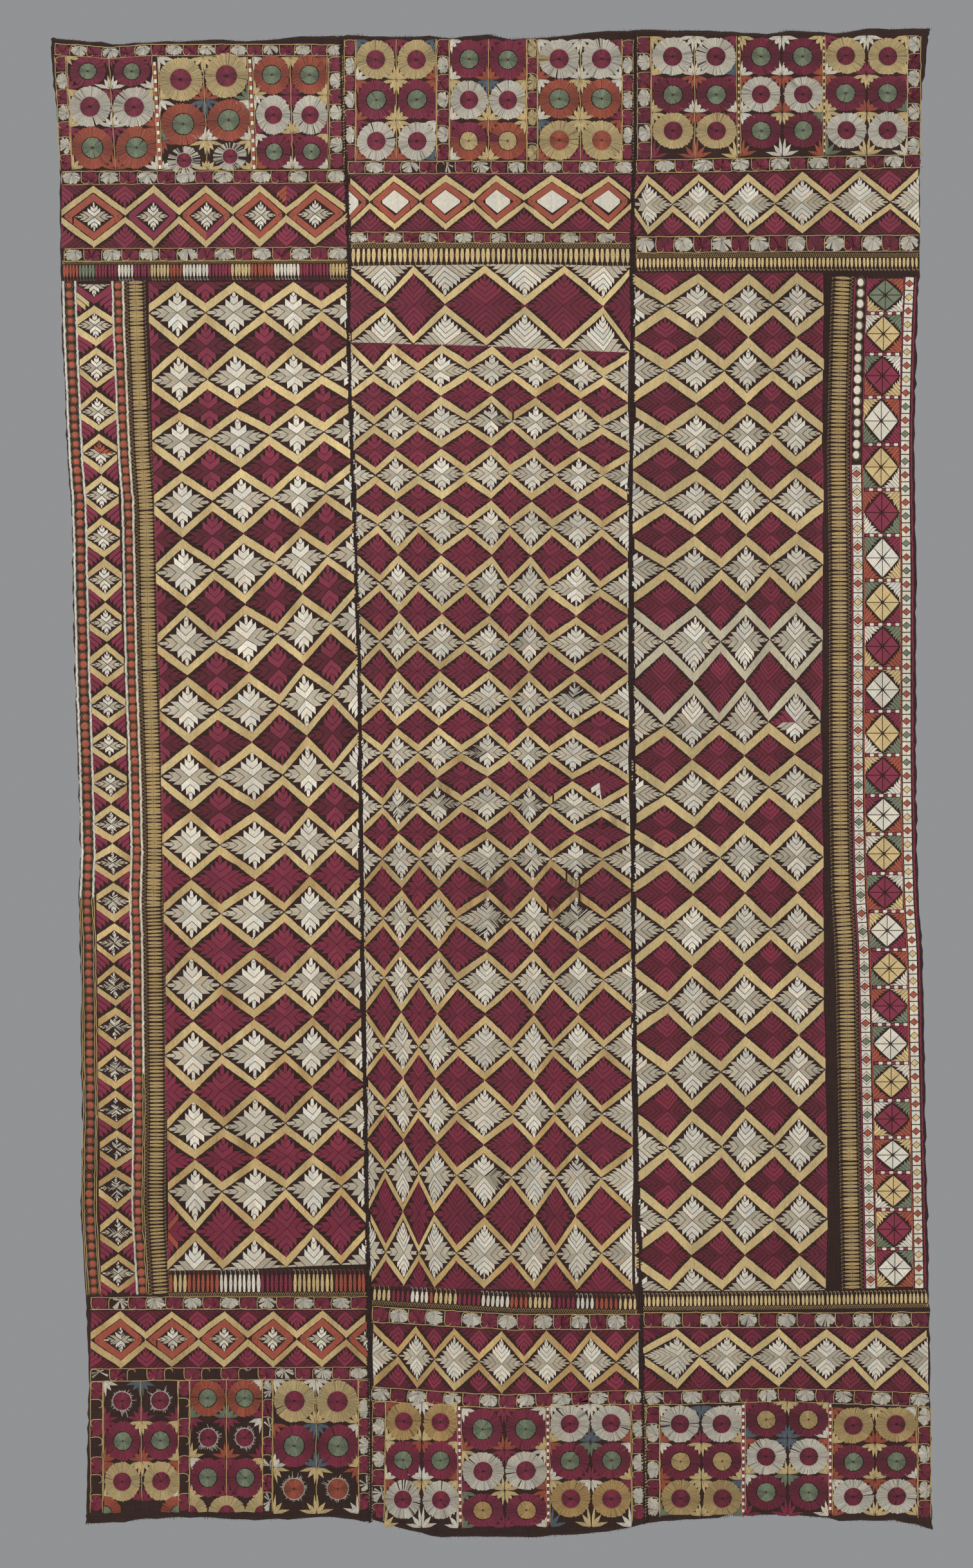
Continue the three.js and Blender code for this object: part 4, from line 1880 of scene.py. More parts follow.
class ClothLength:
    """One hanging length of khaddar, with its turned hems and its selvedges."""

    def __init__(self, length: Length, sizes: ClothSizes, seed: int) -> None:
        """Takes the length's outline, its grid and the start of its random numbers."""
        self.length = length
        self.sizes = sizes
        self.chance = np.random.default_rng(seed)

    @staticmethod
    def _stations(span: float, near: tuple[float, ...], pitch: float) -> np.ndarray:
        """Distances of grid lines along a span, closer together at its two ends."""
        inner = np.linspace(near[-1], span - near[-1], max(2, round((span - 2 * near[-1]) / pitch)))
        return np.concatenate((near[:-1], inner, span - np.array(near[:-1])[::-1]))

    def _form(self, columns: int, lines: int) -> tuple[bmesh.types.BMesh, np.ndarray]:
        """Makes a closed flat sheet with a front and a back, and says which points are in front."""
        form = bmesh.new()
        bmesh.ops.create_grid(form, x_segments=columns, y_segments=lines, size=0.5)
        for face in form.faces:
            face.normal_flip()
        raised = bmesh.ops.extrude_face_region(form, geom=form.faces[:], use_keep_orig=True)["geom"]
        front = [part for part in raised if isinstance(part, bmesh.types.BMVert)]
        bmesh.ops.translate(form, vec=(0.0, 0.0, 1.0), verts=front)
        bmesh.ops.recalc_face_normals(form, faces=form.faces)
        settle_order(form)
        return form, np.array([vert.co.z > 0.5 for vert in form.verts])

    def build(self, finish: Material) -> Object:
        """Makes the sheet in its hanging shape.

        Args:
            finish: the cotton's material.

        Returns:
            The piece, which replaces the solid of the same length.
        """
        length, sizes = self.length, self.sizes
        middle = -HANG.drop / 2
        width = float(length.right.at(np.array(-middle)) - length.left.at(np.array(-middle)))
        across = self._stations(width, sizes.selvedge, sizes.across) / width
        down = self._stations(HANG.drop, sizes.turned, sizes.down) / HANG.drop
        form, front = self._form(len(across) - 1, len(down) - 1)
        flat = np.array([vert.co for vert in form.verts])
        column = np.rint((flat[:, 0] + 0.5) * (len(across) - 1)).astype(int)
        line = np.rint((0.5 - flat[:, 1]) * (len(down) - 1)).astype(int)
        u, v = across[column], down[line]
        left = length.left.at(v * HANG.drop) + HANG.seam_gap / 2
        right = length.right.at(v * HANG.drop) - HANG.seam_gap / 2
        wobble = sizes.wobble * self.chance.standard_normal((2, len(down)))
        left = left + (0 if length.seams[0] else 1) * wobble[0][line]
        right = right + (0 if length.seams[1] else 1) * wobble[1][line]
        x = left + u * (right - left)
        fray = sizes.wobble * self.chance.standard_normal((2, len(across)))
        top = TOP_EDGE.at(x) + fray[0][column]
        z = top + v * (length.bottom.at(x) + fray[1][column] - top)
        from_edge = HANG.drop * np.minimum(v, 1 - v)
        hem = np.clip((HANG.hem_depth + HANG.hem_slope - from_edge) / HANG.hem_slope, 0, 1)
        ridge = np.zeros(len(x))
        for seamed, edge in zip(length.seams, (0, len(across) - 1)):
            if seamed:
                ridge[column == edge] = sizes.ridge
        lift = np.where(front, HANG.cloth / 2 + ridge, -HANG.cloth / 2 - HANG.hem_extra * hem)
        for vert, place in zip(form.verts, HANG.lay(x, z, lift)):
            vert.co = place
        mesh = bpy.data.meshes.new(f"cloth_{length.name}")
        form.to_mesh(mesh)
        form.free()
        map_threads(mesh, np.stack((x, z), axis=1))
        mesh.polygons.foreach_set("use_smooth", np.ones(len(mesh.polygons), bool))
        mesh.materials.append(finish)
        piece = add_object(mesh.name, mesh)
        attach(piece, BODY)
        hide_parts(f"panel_{length.name}")
        LOG.info("%s: %d faces", piece.name, len(mesh.polygons))
        return piece


class Trim:
    """Sewing and wear along the edges: whipped seams and frayed hems, with their pitches."""

    whip_pitch = 4.6
    top_pitch = 1.52
    foot_pitch = 1.8

    def __init__(self, seed: int) -> None:
        """Takes the start of its random numbers."""
        self.seed = seed

    def seams(self, finish: Material) -> Object:
        """Whips the selvedges together with dark thread."""
        work = Needlework("seam_whipping", self.seed)
        work.clear = 0.0
        for seam in (SEAM_LEFT, SEAM_RIGHT):
            for step in range(int(HANG.drop / self.whip_pitch)):
                fallen = 5 + step * self.whip_pitch + work.chance.normal(0, 0.6)
                x = float(seam.at(np.array(fallen))) + CHART_ORIGIN[0]
                y = fallen + CHART_ORIGIN[1] + 4
                reach = 2.9 + 0.9 * work.chance.standard_normal()
                thick = 2.2 + 0.5 * work.chance.standard_normal()
                tail, head = (x - reach, y + 1.6), (x + reach, y - 1.6)
                work.line(tail, head, thick, work.tint(Dye.GROUND, 0.2, 0.6), 0.8, 0.5)
        return self._finish(work, finish)

    def fray(self, finish: Material) -> Object:
        """Lays short loose ends of cotton along the top and bottom edges."""
        work = Needlework("frayed_edges", self.seed + 1)
        work.clear = 0.0
        chance = work.chance
        for step in range(900):
            x = TOP_EDGE.along[0] + 1 + step * self.top_pitch + chance.normal(0, 0.6)
            self._tuft(work, x, -float(TOP_EDGE.at(np.array(x))), -1)
        for length in LENGTHS:
            first, last = length.bottom.along[0] + 2, length.bottom.along[-1] - 2
            for step in range(int((last - first) / self.foot_pitch)):
                x = first + step * self.foot_pitch + chance.normal(0, 0.6)
                self._tuft(work, x, -float(length.bottom.at(np.array(x))), 1)
        return self._finish(work, finish)

    @staticmethod
    def _tuft(work: Needlework, x: float, fallen: float, way: int) -> None:
        """Lays one loose end, which stands out of an edge by a millimetre or two.

        Args:
            work: the piece that it goes to.
            x: place of its root, in the cloth's millimetres.
            fallen: distance of the edge below the top edge's middle.
            way: 1 where it stands out downwards, -1 upwards.
        """
        chance = work.chance
        tail = (x + CHART_ORIGIN[0], fallen + CHART_ORIGIN[1] - way * (2.5 + 2 * chance.random()))
        beyond = chance.normal(0, 1.4), way * abs(chance.normal(0.9, 1.0))
        head = (tail[0] + beyond[0], fallen + CHART_ORIGIN[1] + beyond[1])
        work.line(tail, head, 0.9, work.tint(Dye.SOOT, 0.2, 0.75), 0.5, -0.3, 0.3)

    @staticmethod
    def _finish(work: Needlework, finish: Material) -> Object:
        """Builds the sewing."""
        piece = work.build(finish)
        return piece


# Layout of this cloth


def level_rows(*heights: float) -> tuple[tuple[float, float, float], ...]:
    """Rows that are level across."""
    return tuple((height, height, height) for height in heights)


def plumb(*places: float) -> tuple[tuple[float, ...], ...]:
    """Columns that are upright, each with one x."""
    return tuple((place,) for place in places)


def edge_route(edge: Edge, offset: float, stations: Sequence[float]) -> tuple[Point, ...]:
    """A line that keeps its distance from an edge of the cloth, through stations down the chart."""
    return tuple(
        (float(edge.at(np.array(y - CHART_ORIGIN[1]))) + CHART_ORIGIN[0] + offset, y) for y in stations
    )


# Each star's level arms are painted darker than its upright arms, by a darker dye or a lower brightness:
# painted shade for the silk's sheen, which is duller where the threads run level
BRIGHT = Colours(Dye.WHITE, Dye.WHITE_PAINTED_SHADE, 1.0, 0.98)
GREYED = Colours(Dye.WHITE, Dye.WHITE_PAINTED_SHADE, 0.88, 0.9, 0.08)
EVEN = Colours(Dye.WHITE, Dye.WHITE_PAINTED_SHADE, 0.88, 0.98, 0.09)
RICH = Colours(Dye.MAGENTA, Dye.MAROON_PAINTED_SHADE, 0.92, 1.0)
QUIET = Colours(Dye.WINE, Dye.WINE, 0.98, 0.78, 0.07)
CRIMSON = Colours(Dye.WINE, Dye.MAROON_PAINTED_SHADE, 1.0, 1.12, 0.10)
SMALL_CUT = LeafCut(7.0, 8.6, 0.9, 1.6, 3.0, 0.3)
BAND_CUT = LeafCut(8.0, 8.6, 0.5, 0.8, 3.0, 0.4)
ORANGE_FRAME = Frame(Dye.ORANGE, 12.0, 0.62)

LEFT_FIELD = Lattice(
    "left_field", Kind.DEEP, (480, 1255, 1900),
    ((232, 252, 261), (275, 297, 303), (320, 342, 347), (363, 395, 396), (409, 441, 445),
     (454, 480, 488), (499, 520, 529), (541, 560, 571)),
    (275, 380, 540),
    ((487, 486, 482), (592, 588, 581), (686, 680, 668), (784, 777, 764), (890, 882, 859),
     (1000, 995, 963), (1104, 1103, 1076), (1207, 1208, 1199), (1312, 1315, 1305), (1419, 1421, 1413),
     (1531, 1532, 1522), (1641, 1638, 1632), (1755, 1751, 1739), (1852, 1852, 1843), (1975, 1972, 1966)),
    14.0, LeafCut(11.5, 13.0), LeafCut(11.5, 13.0, 0.55, 1.2), BRIGHT, RICH, head=(438, 438, 438),
    band_shade=0.97, amber=((480, 1200, 1500, 1900), (0.0, 0.1, 0.5, 0.5)),
)
CENTRE_FIELD = Lattice(
    "centre_field", Kind.PALE, (580, 905, 1190, 1427, 1850),
    ((545, 555, 562, 566, 574), (579, 589, 593, 596, 599), (612, 620, 616, 624, 628),
     (649, 650, 648, 650, 651), (685, 687, 680, 682, 675), (726, 725, 717, 712, 710),
     (764, 763, 758, 757, 752), (796, 790, 792, 795, 795), (834, 822, 821, 829, 830),
     (868, 854, 854, 859, 863), (903, 896, 889, 899, 896), (938, 935, 931, 940, 935),
     (976, 977, 977, 983, 983)),
    (545, 765, 980),
    ((580, 575, 588), (661, 653, 665), (740, 736, 740), (815, 818, 822), (905, 910, 917),
     (996, 1001, 1001), (1089, 1086, 1092), (1170, 1169, 1177), (1255, 1247, 1259), (1336, 1334, 1336),
     (1427, 1429, 1430), (1518, 1527, 1523), (1625, 1629, 1629), (1720, 1731, 1731), (1816, 1829, 1832),
     (1944, 1950, 1949)),
    12.0, LeafCut(9.0, 9.6, 0.62, 0.9, 4.8), LeafCut(9.0, 9.6, 0.4, 0.2, 4.8), EVEN, QUIET,
    head=(533, 538, 548), foot=(1997, 2004, 2008), band_shade=0.93,
    amber=((600, 1250, 1380, 1500, 2000), (0.1, 0.3, 0.85, 0.5, 0.7)),
)
CENTRE_CROWN = Lattice(
    "centre_crown", Kind.DEEP, (475,),
    plumb(544, 597, 643, 692, 754, 815, 876, 938, 981),
    (545, 765, 980), ((473, 475, 477),), 12.0, LeafCut(9.0, 10.5), LeafCut(9.0, 10.5, 0.45, 0.9),
    Colours(Dye.WHITE, Dye.WHITE_PAINTED_SHADE, 0.95, 0.95, 0.07), QUIET, head=(414, 412, 413), foot=(532, 539, 548),
    row_kind=Kind.DEEP,
)
RIGHT_FIELD = Lattice(
    "right_field", Kind.PALE, (475, 1150, 1784),
    ((984, 982, 988), (1035, 1032, 1038), (1084, 1077, 1076), (1125, 1118, 1121), (1164, 1156, 1158),
     (1201, 1194, 1203), (1238, 1235, 1242), (1279, 1276, 1284)),
    (1080, 1160, 1240),
    ((475, 473, 474), (577, 577, 574), (679, 676, 674), (781, 778, 779), (883, 883, 878),
     (998, 996, 995), (1127, 1124, 1122), (1234, 1224, 1221), (1336, 1331, 1331), (1445, 1444, 1445),
     (1558, 1554, 1553), (1668, 1664, 1663), (1784, 1782, 1781), (1896, 1896, 1894), (2006, 2006, 2005)),
    16.0, LeafCut(9.2, 10.0, tip=4.2), LeafCut(7.6, 8.4, 0.5, 1.0, 4.2), GREYED, CRIMSON,
    head=(424, 424, 424), pale_bands=(10, 11, 12), band_shade=0.86,
)
LEFT_BORDER_STARS = Lattice(
    "left_border_stars", Kind.DEEP, (470, 720, 900, 1430, 2000),
    ((120, 130, 137, 151, 157), (146.5, 156, 163, 177.5, 184), (174, 183, 189, 204, 211)),
    (120, 160, 210),
    level_rows(443, 506, 572, 640, 705, 770, 836, 901, 968, 1033, 1098, 1159, 1218, 1281, 1341, 1401,
               1465, 1532, 1596, 1662, 1725, 1786, 1846, 1915, 1979),
    11.0, SMALL_CUT, SMALL_CUT, BRIGHT, RICH, foot=(2012, 2012, 2012), jitter=0.6, wings=True,
    amber=((470, 1200, 1500, 2000), (0.0, 0.2, 0.75, 0.75)),
)

WHITE_MAGENTA = (Dye.WHITE, Dye.MAGENTA)
WHITE_ORANGE = (Dye.WHITE, Dye.ORANGE)
MAGENTA_GREEN = (Dye.MAGENTA, Dye.GREEN)
MAGENTA_OLD_GOLD = (Dye.MAGENTA, Dye.OLD_GOLD)
GOLD_MAGENTA = (Dye.GOLD, Dye.MAGENTA)
OLD_GOLD_MAGENTA = (Dye.OLD_GOLD, Dye.MAGENTA)
ORANGE_GREEN = (Dye.ORANGE, Dye.GREEN)

LEFT_TOP = WorkedEnd(
    "left_top",
    (
        Block((101, 112), (236, 246), 87, 264, (111, 166, 230),
              (MAGENTA_GREEN, WHITE_MAGENTA, ORANGE_GREEN), (23.5, 31, 33)),
        Block((245, 252), (384, 392), 88, 264, (120.5, 189.5, 246.5),
              (GOLD_MAGENTA, ORANGE_GREEN, WHITE_MAGENTA), (34.5, 33, 21.5), -6),
        Block((392, 399), (508, 510), 88, 262, (116, 179, 236),
              (ORANGE_GREEN, WHITE_MAGENTA, MAGENTA_GREEN), (31, 30, 26)),
    ),
    (
        Fans(((85, 68), (135, 71), (170, 74), (230, 69), (533, 69)), 17.5, 18),
        Fans(((104, 87), (113, 264)), 19.0, 7), Fans(((532, 87), (535, 262)), 22.0, 7),
        Fans(((96, 267), (538, 264)), 20.0, 15, Kind.PALE),
        Fans(((100, 387), (540, 384)), 20.0, 15, Kind.PALE),
    ),
    (
        Dashes(((240, 96), (249, 263)), 5.0, WHITE_ORANGE, 25),
        Dashes(((388, 92), (395, 263)), 5.0, WHITE_ORANGE, 25),
    ),
    Comb(((97, 412), (541, 409)), 22.0, 5.05,
         ((122, Dye.ORANGE), (148, Dye.GREEN), (180, Dye.MAGENTA), (207, Dye.WHITE), (235, Dye.MAGENTA),
          (264, Dye.GOLD), (286, Dye.ORANGE), (326, Dye.WHITE), (359, Dye.MAGENTA), (391, Dye.GOLD),
          (427, Dye.ORANGE), (464, Dye.WHITE), (509, Dye.MAGENTA), (541, Dye.GOLD))),
    Lattice("left_top_band", Kind.DEEP, (336,),
            plumb(96, 145, 194, 240, 278, 321, 361, 405, 445, 490, 539),
            (96, 321, 539), ((337, 336, 331),), 11.0, SMALL_CUT, BAND_CUT, GREYED, RICH,
            head=(288, 287, 284), foot=(387, 386, 381), frame=ORANGE_FRAME, band_shade=0.85),
)
CENTRE_TOP = WorkedEnd(
    "centre_top",
    (
        Block((553, 553), (677, 678), 61, 249, (93, 155, 219),
              (GOLD_MAGENTA, MAGENTA_GREEN, WHITE_MAGENTA)),
        Block((699, 699), (818, 818), 61, 249, (93, 155, 219),
              (MAGENTA_GREEN, WHITE_MAGENTA, (Dye.ORANGE, Dye.GOLD))),
        Block((836, 836), (966, 967), 61, 249, (92, 154, 218),
              (WHITE_MAGENTA, ORANGE_GREEN, (Dye.GOLD, Dye.ORANGE))),
    ),
    (
        Fans(((552, 61), (552, 250)), 17.0, 7), Fans(((698, 61), (698, 250)), 19.0, 7),
        Fans(((835, 61), (835, 250)), 16.0, 7, Kind.PALE), Fans(((984, 61), (984, 250)), 17.0, 7),
        Fans(((540, 251), (984, 250)), 19.0, 16), Fans(((543, 361), (982, 361)), 17.0, 16, Kind.PALE),
    ),
    (),
    Comb(((545, 386), (980, 386)), 25.0, 8.1, ((985, Dye.GOLD),), shade=0.92, thick=5.8),
    Lattice("centre_top_band", Kind.PALE, (313,),
            plumb(541, 575, 613, 653, 693, 736, 771, 815, 858, 901, 945, 982),
            (545, 765, 980), ((314, 313, 313),), 10.0, SMALL_CUT, BAND_CUT, GREYED, QUIET,
            head=(272, 271, 271), foot=(359, 358, 358), frame=Frame(Dye.ORANGE, 11.0, 0.62, True),
            band_shade=0.86),
)
RIGHT_TOP = WorkedEnd(
    "right_top",
    (
        Block((1012, 1013), (1144, 1146), 56, 246, (88, 147, 203),
              (WHITE_MAGENTA, MAGENTA_GREEN, GOLD_MAGENTA)),
        Block((1150, 1151), (1278, 1279), 56, 243, (88, 147, 203),
              (MAGENTA_GREEN, WHITE_MAGENTA, MAGENTA_GREEN), spine=False),
        Block((1282, 1283), (1410, 1410), 55, 241, (87, 145, 202),
              (GOLD_MAGENTA, MAGENTA_GREEN, WHITE_MAGENTA), spine=False),
    ),
    (
        Fans(((1011, 56), (1012, 247)), 21.0, 7), Fans(((1431, 56), (1430, 240)), 20.0, 7, Kind.PALE),
        Fans(((988, 249), (1210, 245), (1434, 240)), 20.0, 15),
        Fans(((989, 368), (1428, 365)), 25.0, 15, Kind.PALE),
    ),
    (
        Dashes(((1148, 58), (1148, 244)), 3.0, (Dye.GOLD, Dye.SOOT), 36),
        Dashes(((1280, 57), (1281, 242)), 3.0, (Dye.GOLD, Dye.SOOT), 36),
    ),
    Comb(((988, 401), (1427, 400)), 17.0, 6.3, ((1430, Dye.GOLD),), shade=0.95),
    Lattice("right_top_band", Kind.DEEP, (315,),
            plumb(984, 1006, 1044, 1086, 1124, 1162, 1205, 1247, 1291, 1336, 1382, 1428),
            (1000, 1205, 1428), ((318, 316, 312),), 11.0, BAND_CUT, BAND_CUT, GREYED, RICH,
            head=(271, 268, 262), foot=(366, 365, 363), band_shade=0.84),
)
LEFT_FOOT = WorkedEnd(
    "left_foot",
    (
        Block((161, 162), (276, 278), 2146, 2332, (2177, 2239, 2302),
              (WHITE_MAGENTA, MAGENTA_GREEN, GOLD_MAGENTA), (30, 30, 30),
              tail=ORANGE_GREEN),
        Block((295, 295), (407, 408), 2144, 2328, (2173, 2235, 2297),
              (ORANGE_GREEN, WHITE_MAGENTA, MAGENTA_GREEN), (29, 30, 31),
              tail=GOLD_MAGENTA, tail_parts=((0.0, 0.75, 1.0), (0.505, 0.5, 1.0), (1.0, 0.5, 0.75))),
        Block((424, 424), (556, 558), 2144, 2348, (2178, 2247, 2314),
              (GOLD_MAGENTA, MAGENTA_GREEN, WHITE_ORANGE)),
    ),
    (
        Fans(((141, 2016), (573, 2016)), 19.0, 15), Fans(((141, 2127), (573, 2125)), 19.0, 15, Kind.PALE),
        Fans(((160, 2146), (160, 2350)), 19.0, 7), Fans(((294, 2145), (294, 2350)), 17.0, 7),
        Fans(((423, 2145), (423, 2349)), 15.0, 7, Kind.PALE), Fans(((574, 2145), (574, 2349)), 17.0, 7),
    ),
    (),
    Comb(((569, 2008), (262, 2009)), 32.0, 7.1,
         ((269, Dye.ORANGE), (291, Dye.GOLD), (344, Dye.ORANGE), (402, Dye.WHITE), (458, Dye.MAGENTA),
          (520, Dye.GOLD), (572, Dye.ORANGE)), thick=5.0),
    Lattice("left_foot_band", Kind.DEEP, (2081,),
            plumb(141, 188, 229, 268, 307, 348, 385, 424, 461, 499, 537, 572),
            (150, 360, 572), ((2082, 2081, 2081),), 11.0, SMALL_CUT, BAND_CUT, GREYED, RICH,
            head=(2037, 2037, 2037), foot=(2127, 2126, 2125), frame=ORANGE_FRAME, band_shade=0.88,
            amber=((2081,), (0.45,))),
    foot=2351.0,
)
CENTRE_FOOT = WorkedEnd(
    "centre_foot",
    (
        Block((600, 596), (710, 713), 2178, 2364, (2209, 2269, 2330),
              ((Dye.AMBER, Dye.MAGENTA), MAGENTA_GREEN, WHITE_MAGENTA), spine=False),
        Block((717, 718), (848, 850), 2188, 2374, (2221, 2286, 2347),
              (MAGENTA_GREEN, WHITE_MAGENTA, (Dye.MAGENTA, Dye.AMBER)), spine=False),
        Block((854, 855), (979, 982), 2182, 2368, (2213, 2271, 2330),
              (WHITE_MAGENTA, MAGENTA_GREEN, (Dye.AMBER, Dye.MAGENTA)), spine=False),
    ),
    (
        Fans(((578, 2031), (690, 2036), (800, 2043), (1000, 2043)), 24.0, 15),
        Fans(((578, 2156), (700, 2163), (790, 2168), (900, 2164), (1000, 2161)), 21.0, 15, Kind.PALE),
        Fans(((599, 2178), (598, 2362)), 20.0, 7), Fans(((1002, 2182), (1003, 2364)), 20.0, 7),
    ),
    (
        Dashes(((713.5, 2186), (715.5, 2370)), 4.2, WHITE_MAGENTA, 34),
        Dashes(((851, 2188), (852, 2371)), 4.2, WHITE_MAGENTA, 34),
    ),
    Comb(((990, 2036), (800, 2033), (690, 2026), (578, 2021)), 20.0, 7.4,
         ((608, Dye.GOLD), (638, Dye.MAGENTA), (665, Dye.WHITE), (677, Dye.ORANGE), (713, Dye.GOLD),
          (751, Dye.MAGENTA), (794, Dye.WHITE), (820, Dye.ORANGE), (861, Dye.GOLD), (892, Dye.MAGENTA),
          (927, Dye.WHITE), (961, Dye.ORANGE), (995, Dye.GOLD)), lattice=7.0, hook=4.0, thick=5.0),
    Lattice("centre_foot_band", Kind.PALE, (2115,),
            plumb(580, 619, 647, 674, 705, 745, 780, 815, 850, 886, 919, 958, 992),
            (580, 790, 992), ((2104, 2120, 2117),), 12.0, BAND_CUT, BAND_CUT, GREYED, RICH,
            head=(2057, 2068, 2068), foot=(2154, 2167, 2161), amber=((2115,), (0.95,))),
    foot=2372.0,
)
RIGHT_FOOT = WorkedEnd(
    "right_foot",
    (
        Block((1025, 1026), (1152, 1153), 2184, 2358, (2213, 2271, 2329),
              (WHITE_MAGENTA, MAGENTA_OLD_GOLD, OLD_GOLD_MAGENTA), spine=False),
        Block((1158, 1158), (1287, 1288), 2178, 2348, (2206, 2263, 2319),
              (MAGENTA_OLD_GOLD, WHITE_MAGENTA, MAGENTA_GREEN), spine=False),
        Block((1293, 1293), (1424, 1427), 2187, 2354, (2215, 2272, 2326),
              (OLD_GOLD_MAGENTA, MAGENTA_GREEN, WHITE_MAGENTA), spine=False),
    ),
    (
        Fans(((1000, 2040), (1445, 2040)), 23.0, 15),
        Fans(((1000, 2163), (1220, 2157), (1445, 2166)), 21.0, 15, Kind.PALE),
        Fans(((1025, 2185), (1025, 2356)), 21.0, 6), Fans(((1447, 2188), (1447, 2360)), 20.0, 6, Kind.PALE),
    ),
    (
        Dashes(((1155, 2183), (1155, 2356)), 4.2, WHITE_MAGENTA, 32),
        Dashes(((1290, 2182), (1290, 2352)), 4.2, WHITE_MAGENTA, 32),
    ),
    Comb(((1443, 2026), (1000, 2031)), 18.0, 6.4, ((1445, Dye.GOLD),), lattice=6.0, shade=0.95),
    Lattice("right_foot_band", Kind.DEEP, (2110,),
            plumb(1000, 1052, 1087, 1130, 1168, 1210, 1245, 1283, 1322, 1362, 1402, 1442),
            (1006, 1220, 1442), ((2107, 2109, 2112),), 12.5, BAND_CUT, BAND_CUT, GREYED, RICH,
            head=(2064, 2064, 2065), foot=(2161, 2156, 2165), band_shade=0.86),
    foot=2354.0,
)
ENDS = (LEFT_TOP, CENTRE_TOP, RIGHT_TOP, LEFT_FOOT, CENTRE_FOOT, RIGHT_FOOT)
FIELDS = (LEFT_FIELD, CENTRE_FIELD, RIGHT_FIELD)


@dataclass(frozen=True)
class LeftBorder:
    """Side border of small stars between chains of dots, and its comb."""

    top: float = 437.0
    foot: float = 2012.0
    rails: tuple[Point, ...] = ((3.4, 1405.0), (22.4, 1405.0), (79.8, 2012.0), (96.2, 1690.0))
    chains: tuple[float, ...] = (12.9, 88.0)
    dot_pitch: float = 13.7
    dot_size: Point = (5.1, 5.5)
    comb_foot: float = 105.0
    comb_turn: float = 1405.0
    comb_bar: float = 23.0
    comb_pitch: float = 5.75

    def build(self, seed: int, finishes: Sequence[Material]) -> list[Object]:
        """Works the border as two pieces."""
        stations = np.linspace(self.top, self.foot, 24)
        lines = Needlework("left_border_lines", seed)
        hand = Stitcher(lines)
        for offset, until in self.rails:
            upper = [station for station in stations if station <= until]
            hand.rail(Track(*edge_route(OUTER_LEFT, offset, upper)), 4.2, Dye.WHITE)
            if until < self.foot:
                lower = Track(*edge_route(OUTER_LEFT, offset, [upper[-1], *stations[len(upper):]]))
                for beside in (-1.4, 1.4):
                    hand.gold_line(lower, beside)
        for offset in self.chains:
            chain = Track(*edge_route(OUTER_LEFT, offset, stations))
            hand.beads(chain, self.dot_pitch, self.dot_size, Dye.ORANGE)
        for top, foot, thick in ((self.top, self.comb_turn, 5.3), (self.comb_turn, self.foot, 4.0)):
            upward = edge_route(OUTER_LEFT, self.comb_foot, np.linspace(foot, top, 12))
            dyes = ((2000, Dye.OLD_GOLD),)
            hand.comb(Comb(upward, self.comb_bar, self.comb_pitch, dyes, 6.0, 2.6, thick, 0.76, 0.92, 1))
        stars = Needlework("left_border_stars", seed + 1)
        LEFT_BORDER_STARS.work(stars, stars, stars)
        return [lines.build(*finishes), stars.build(*finishes)]


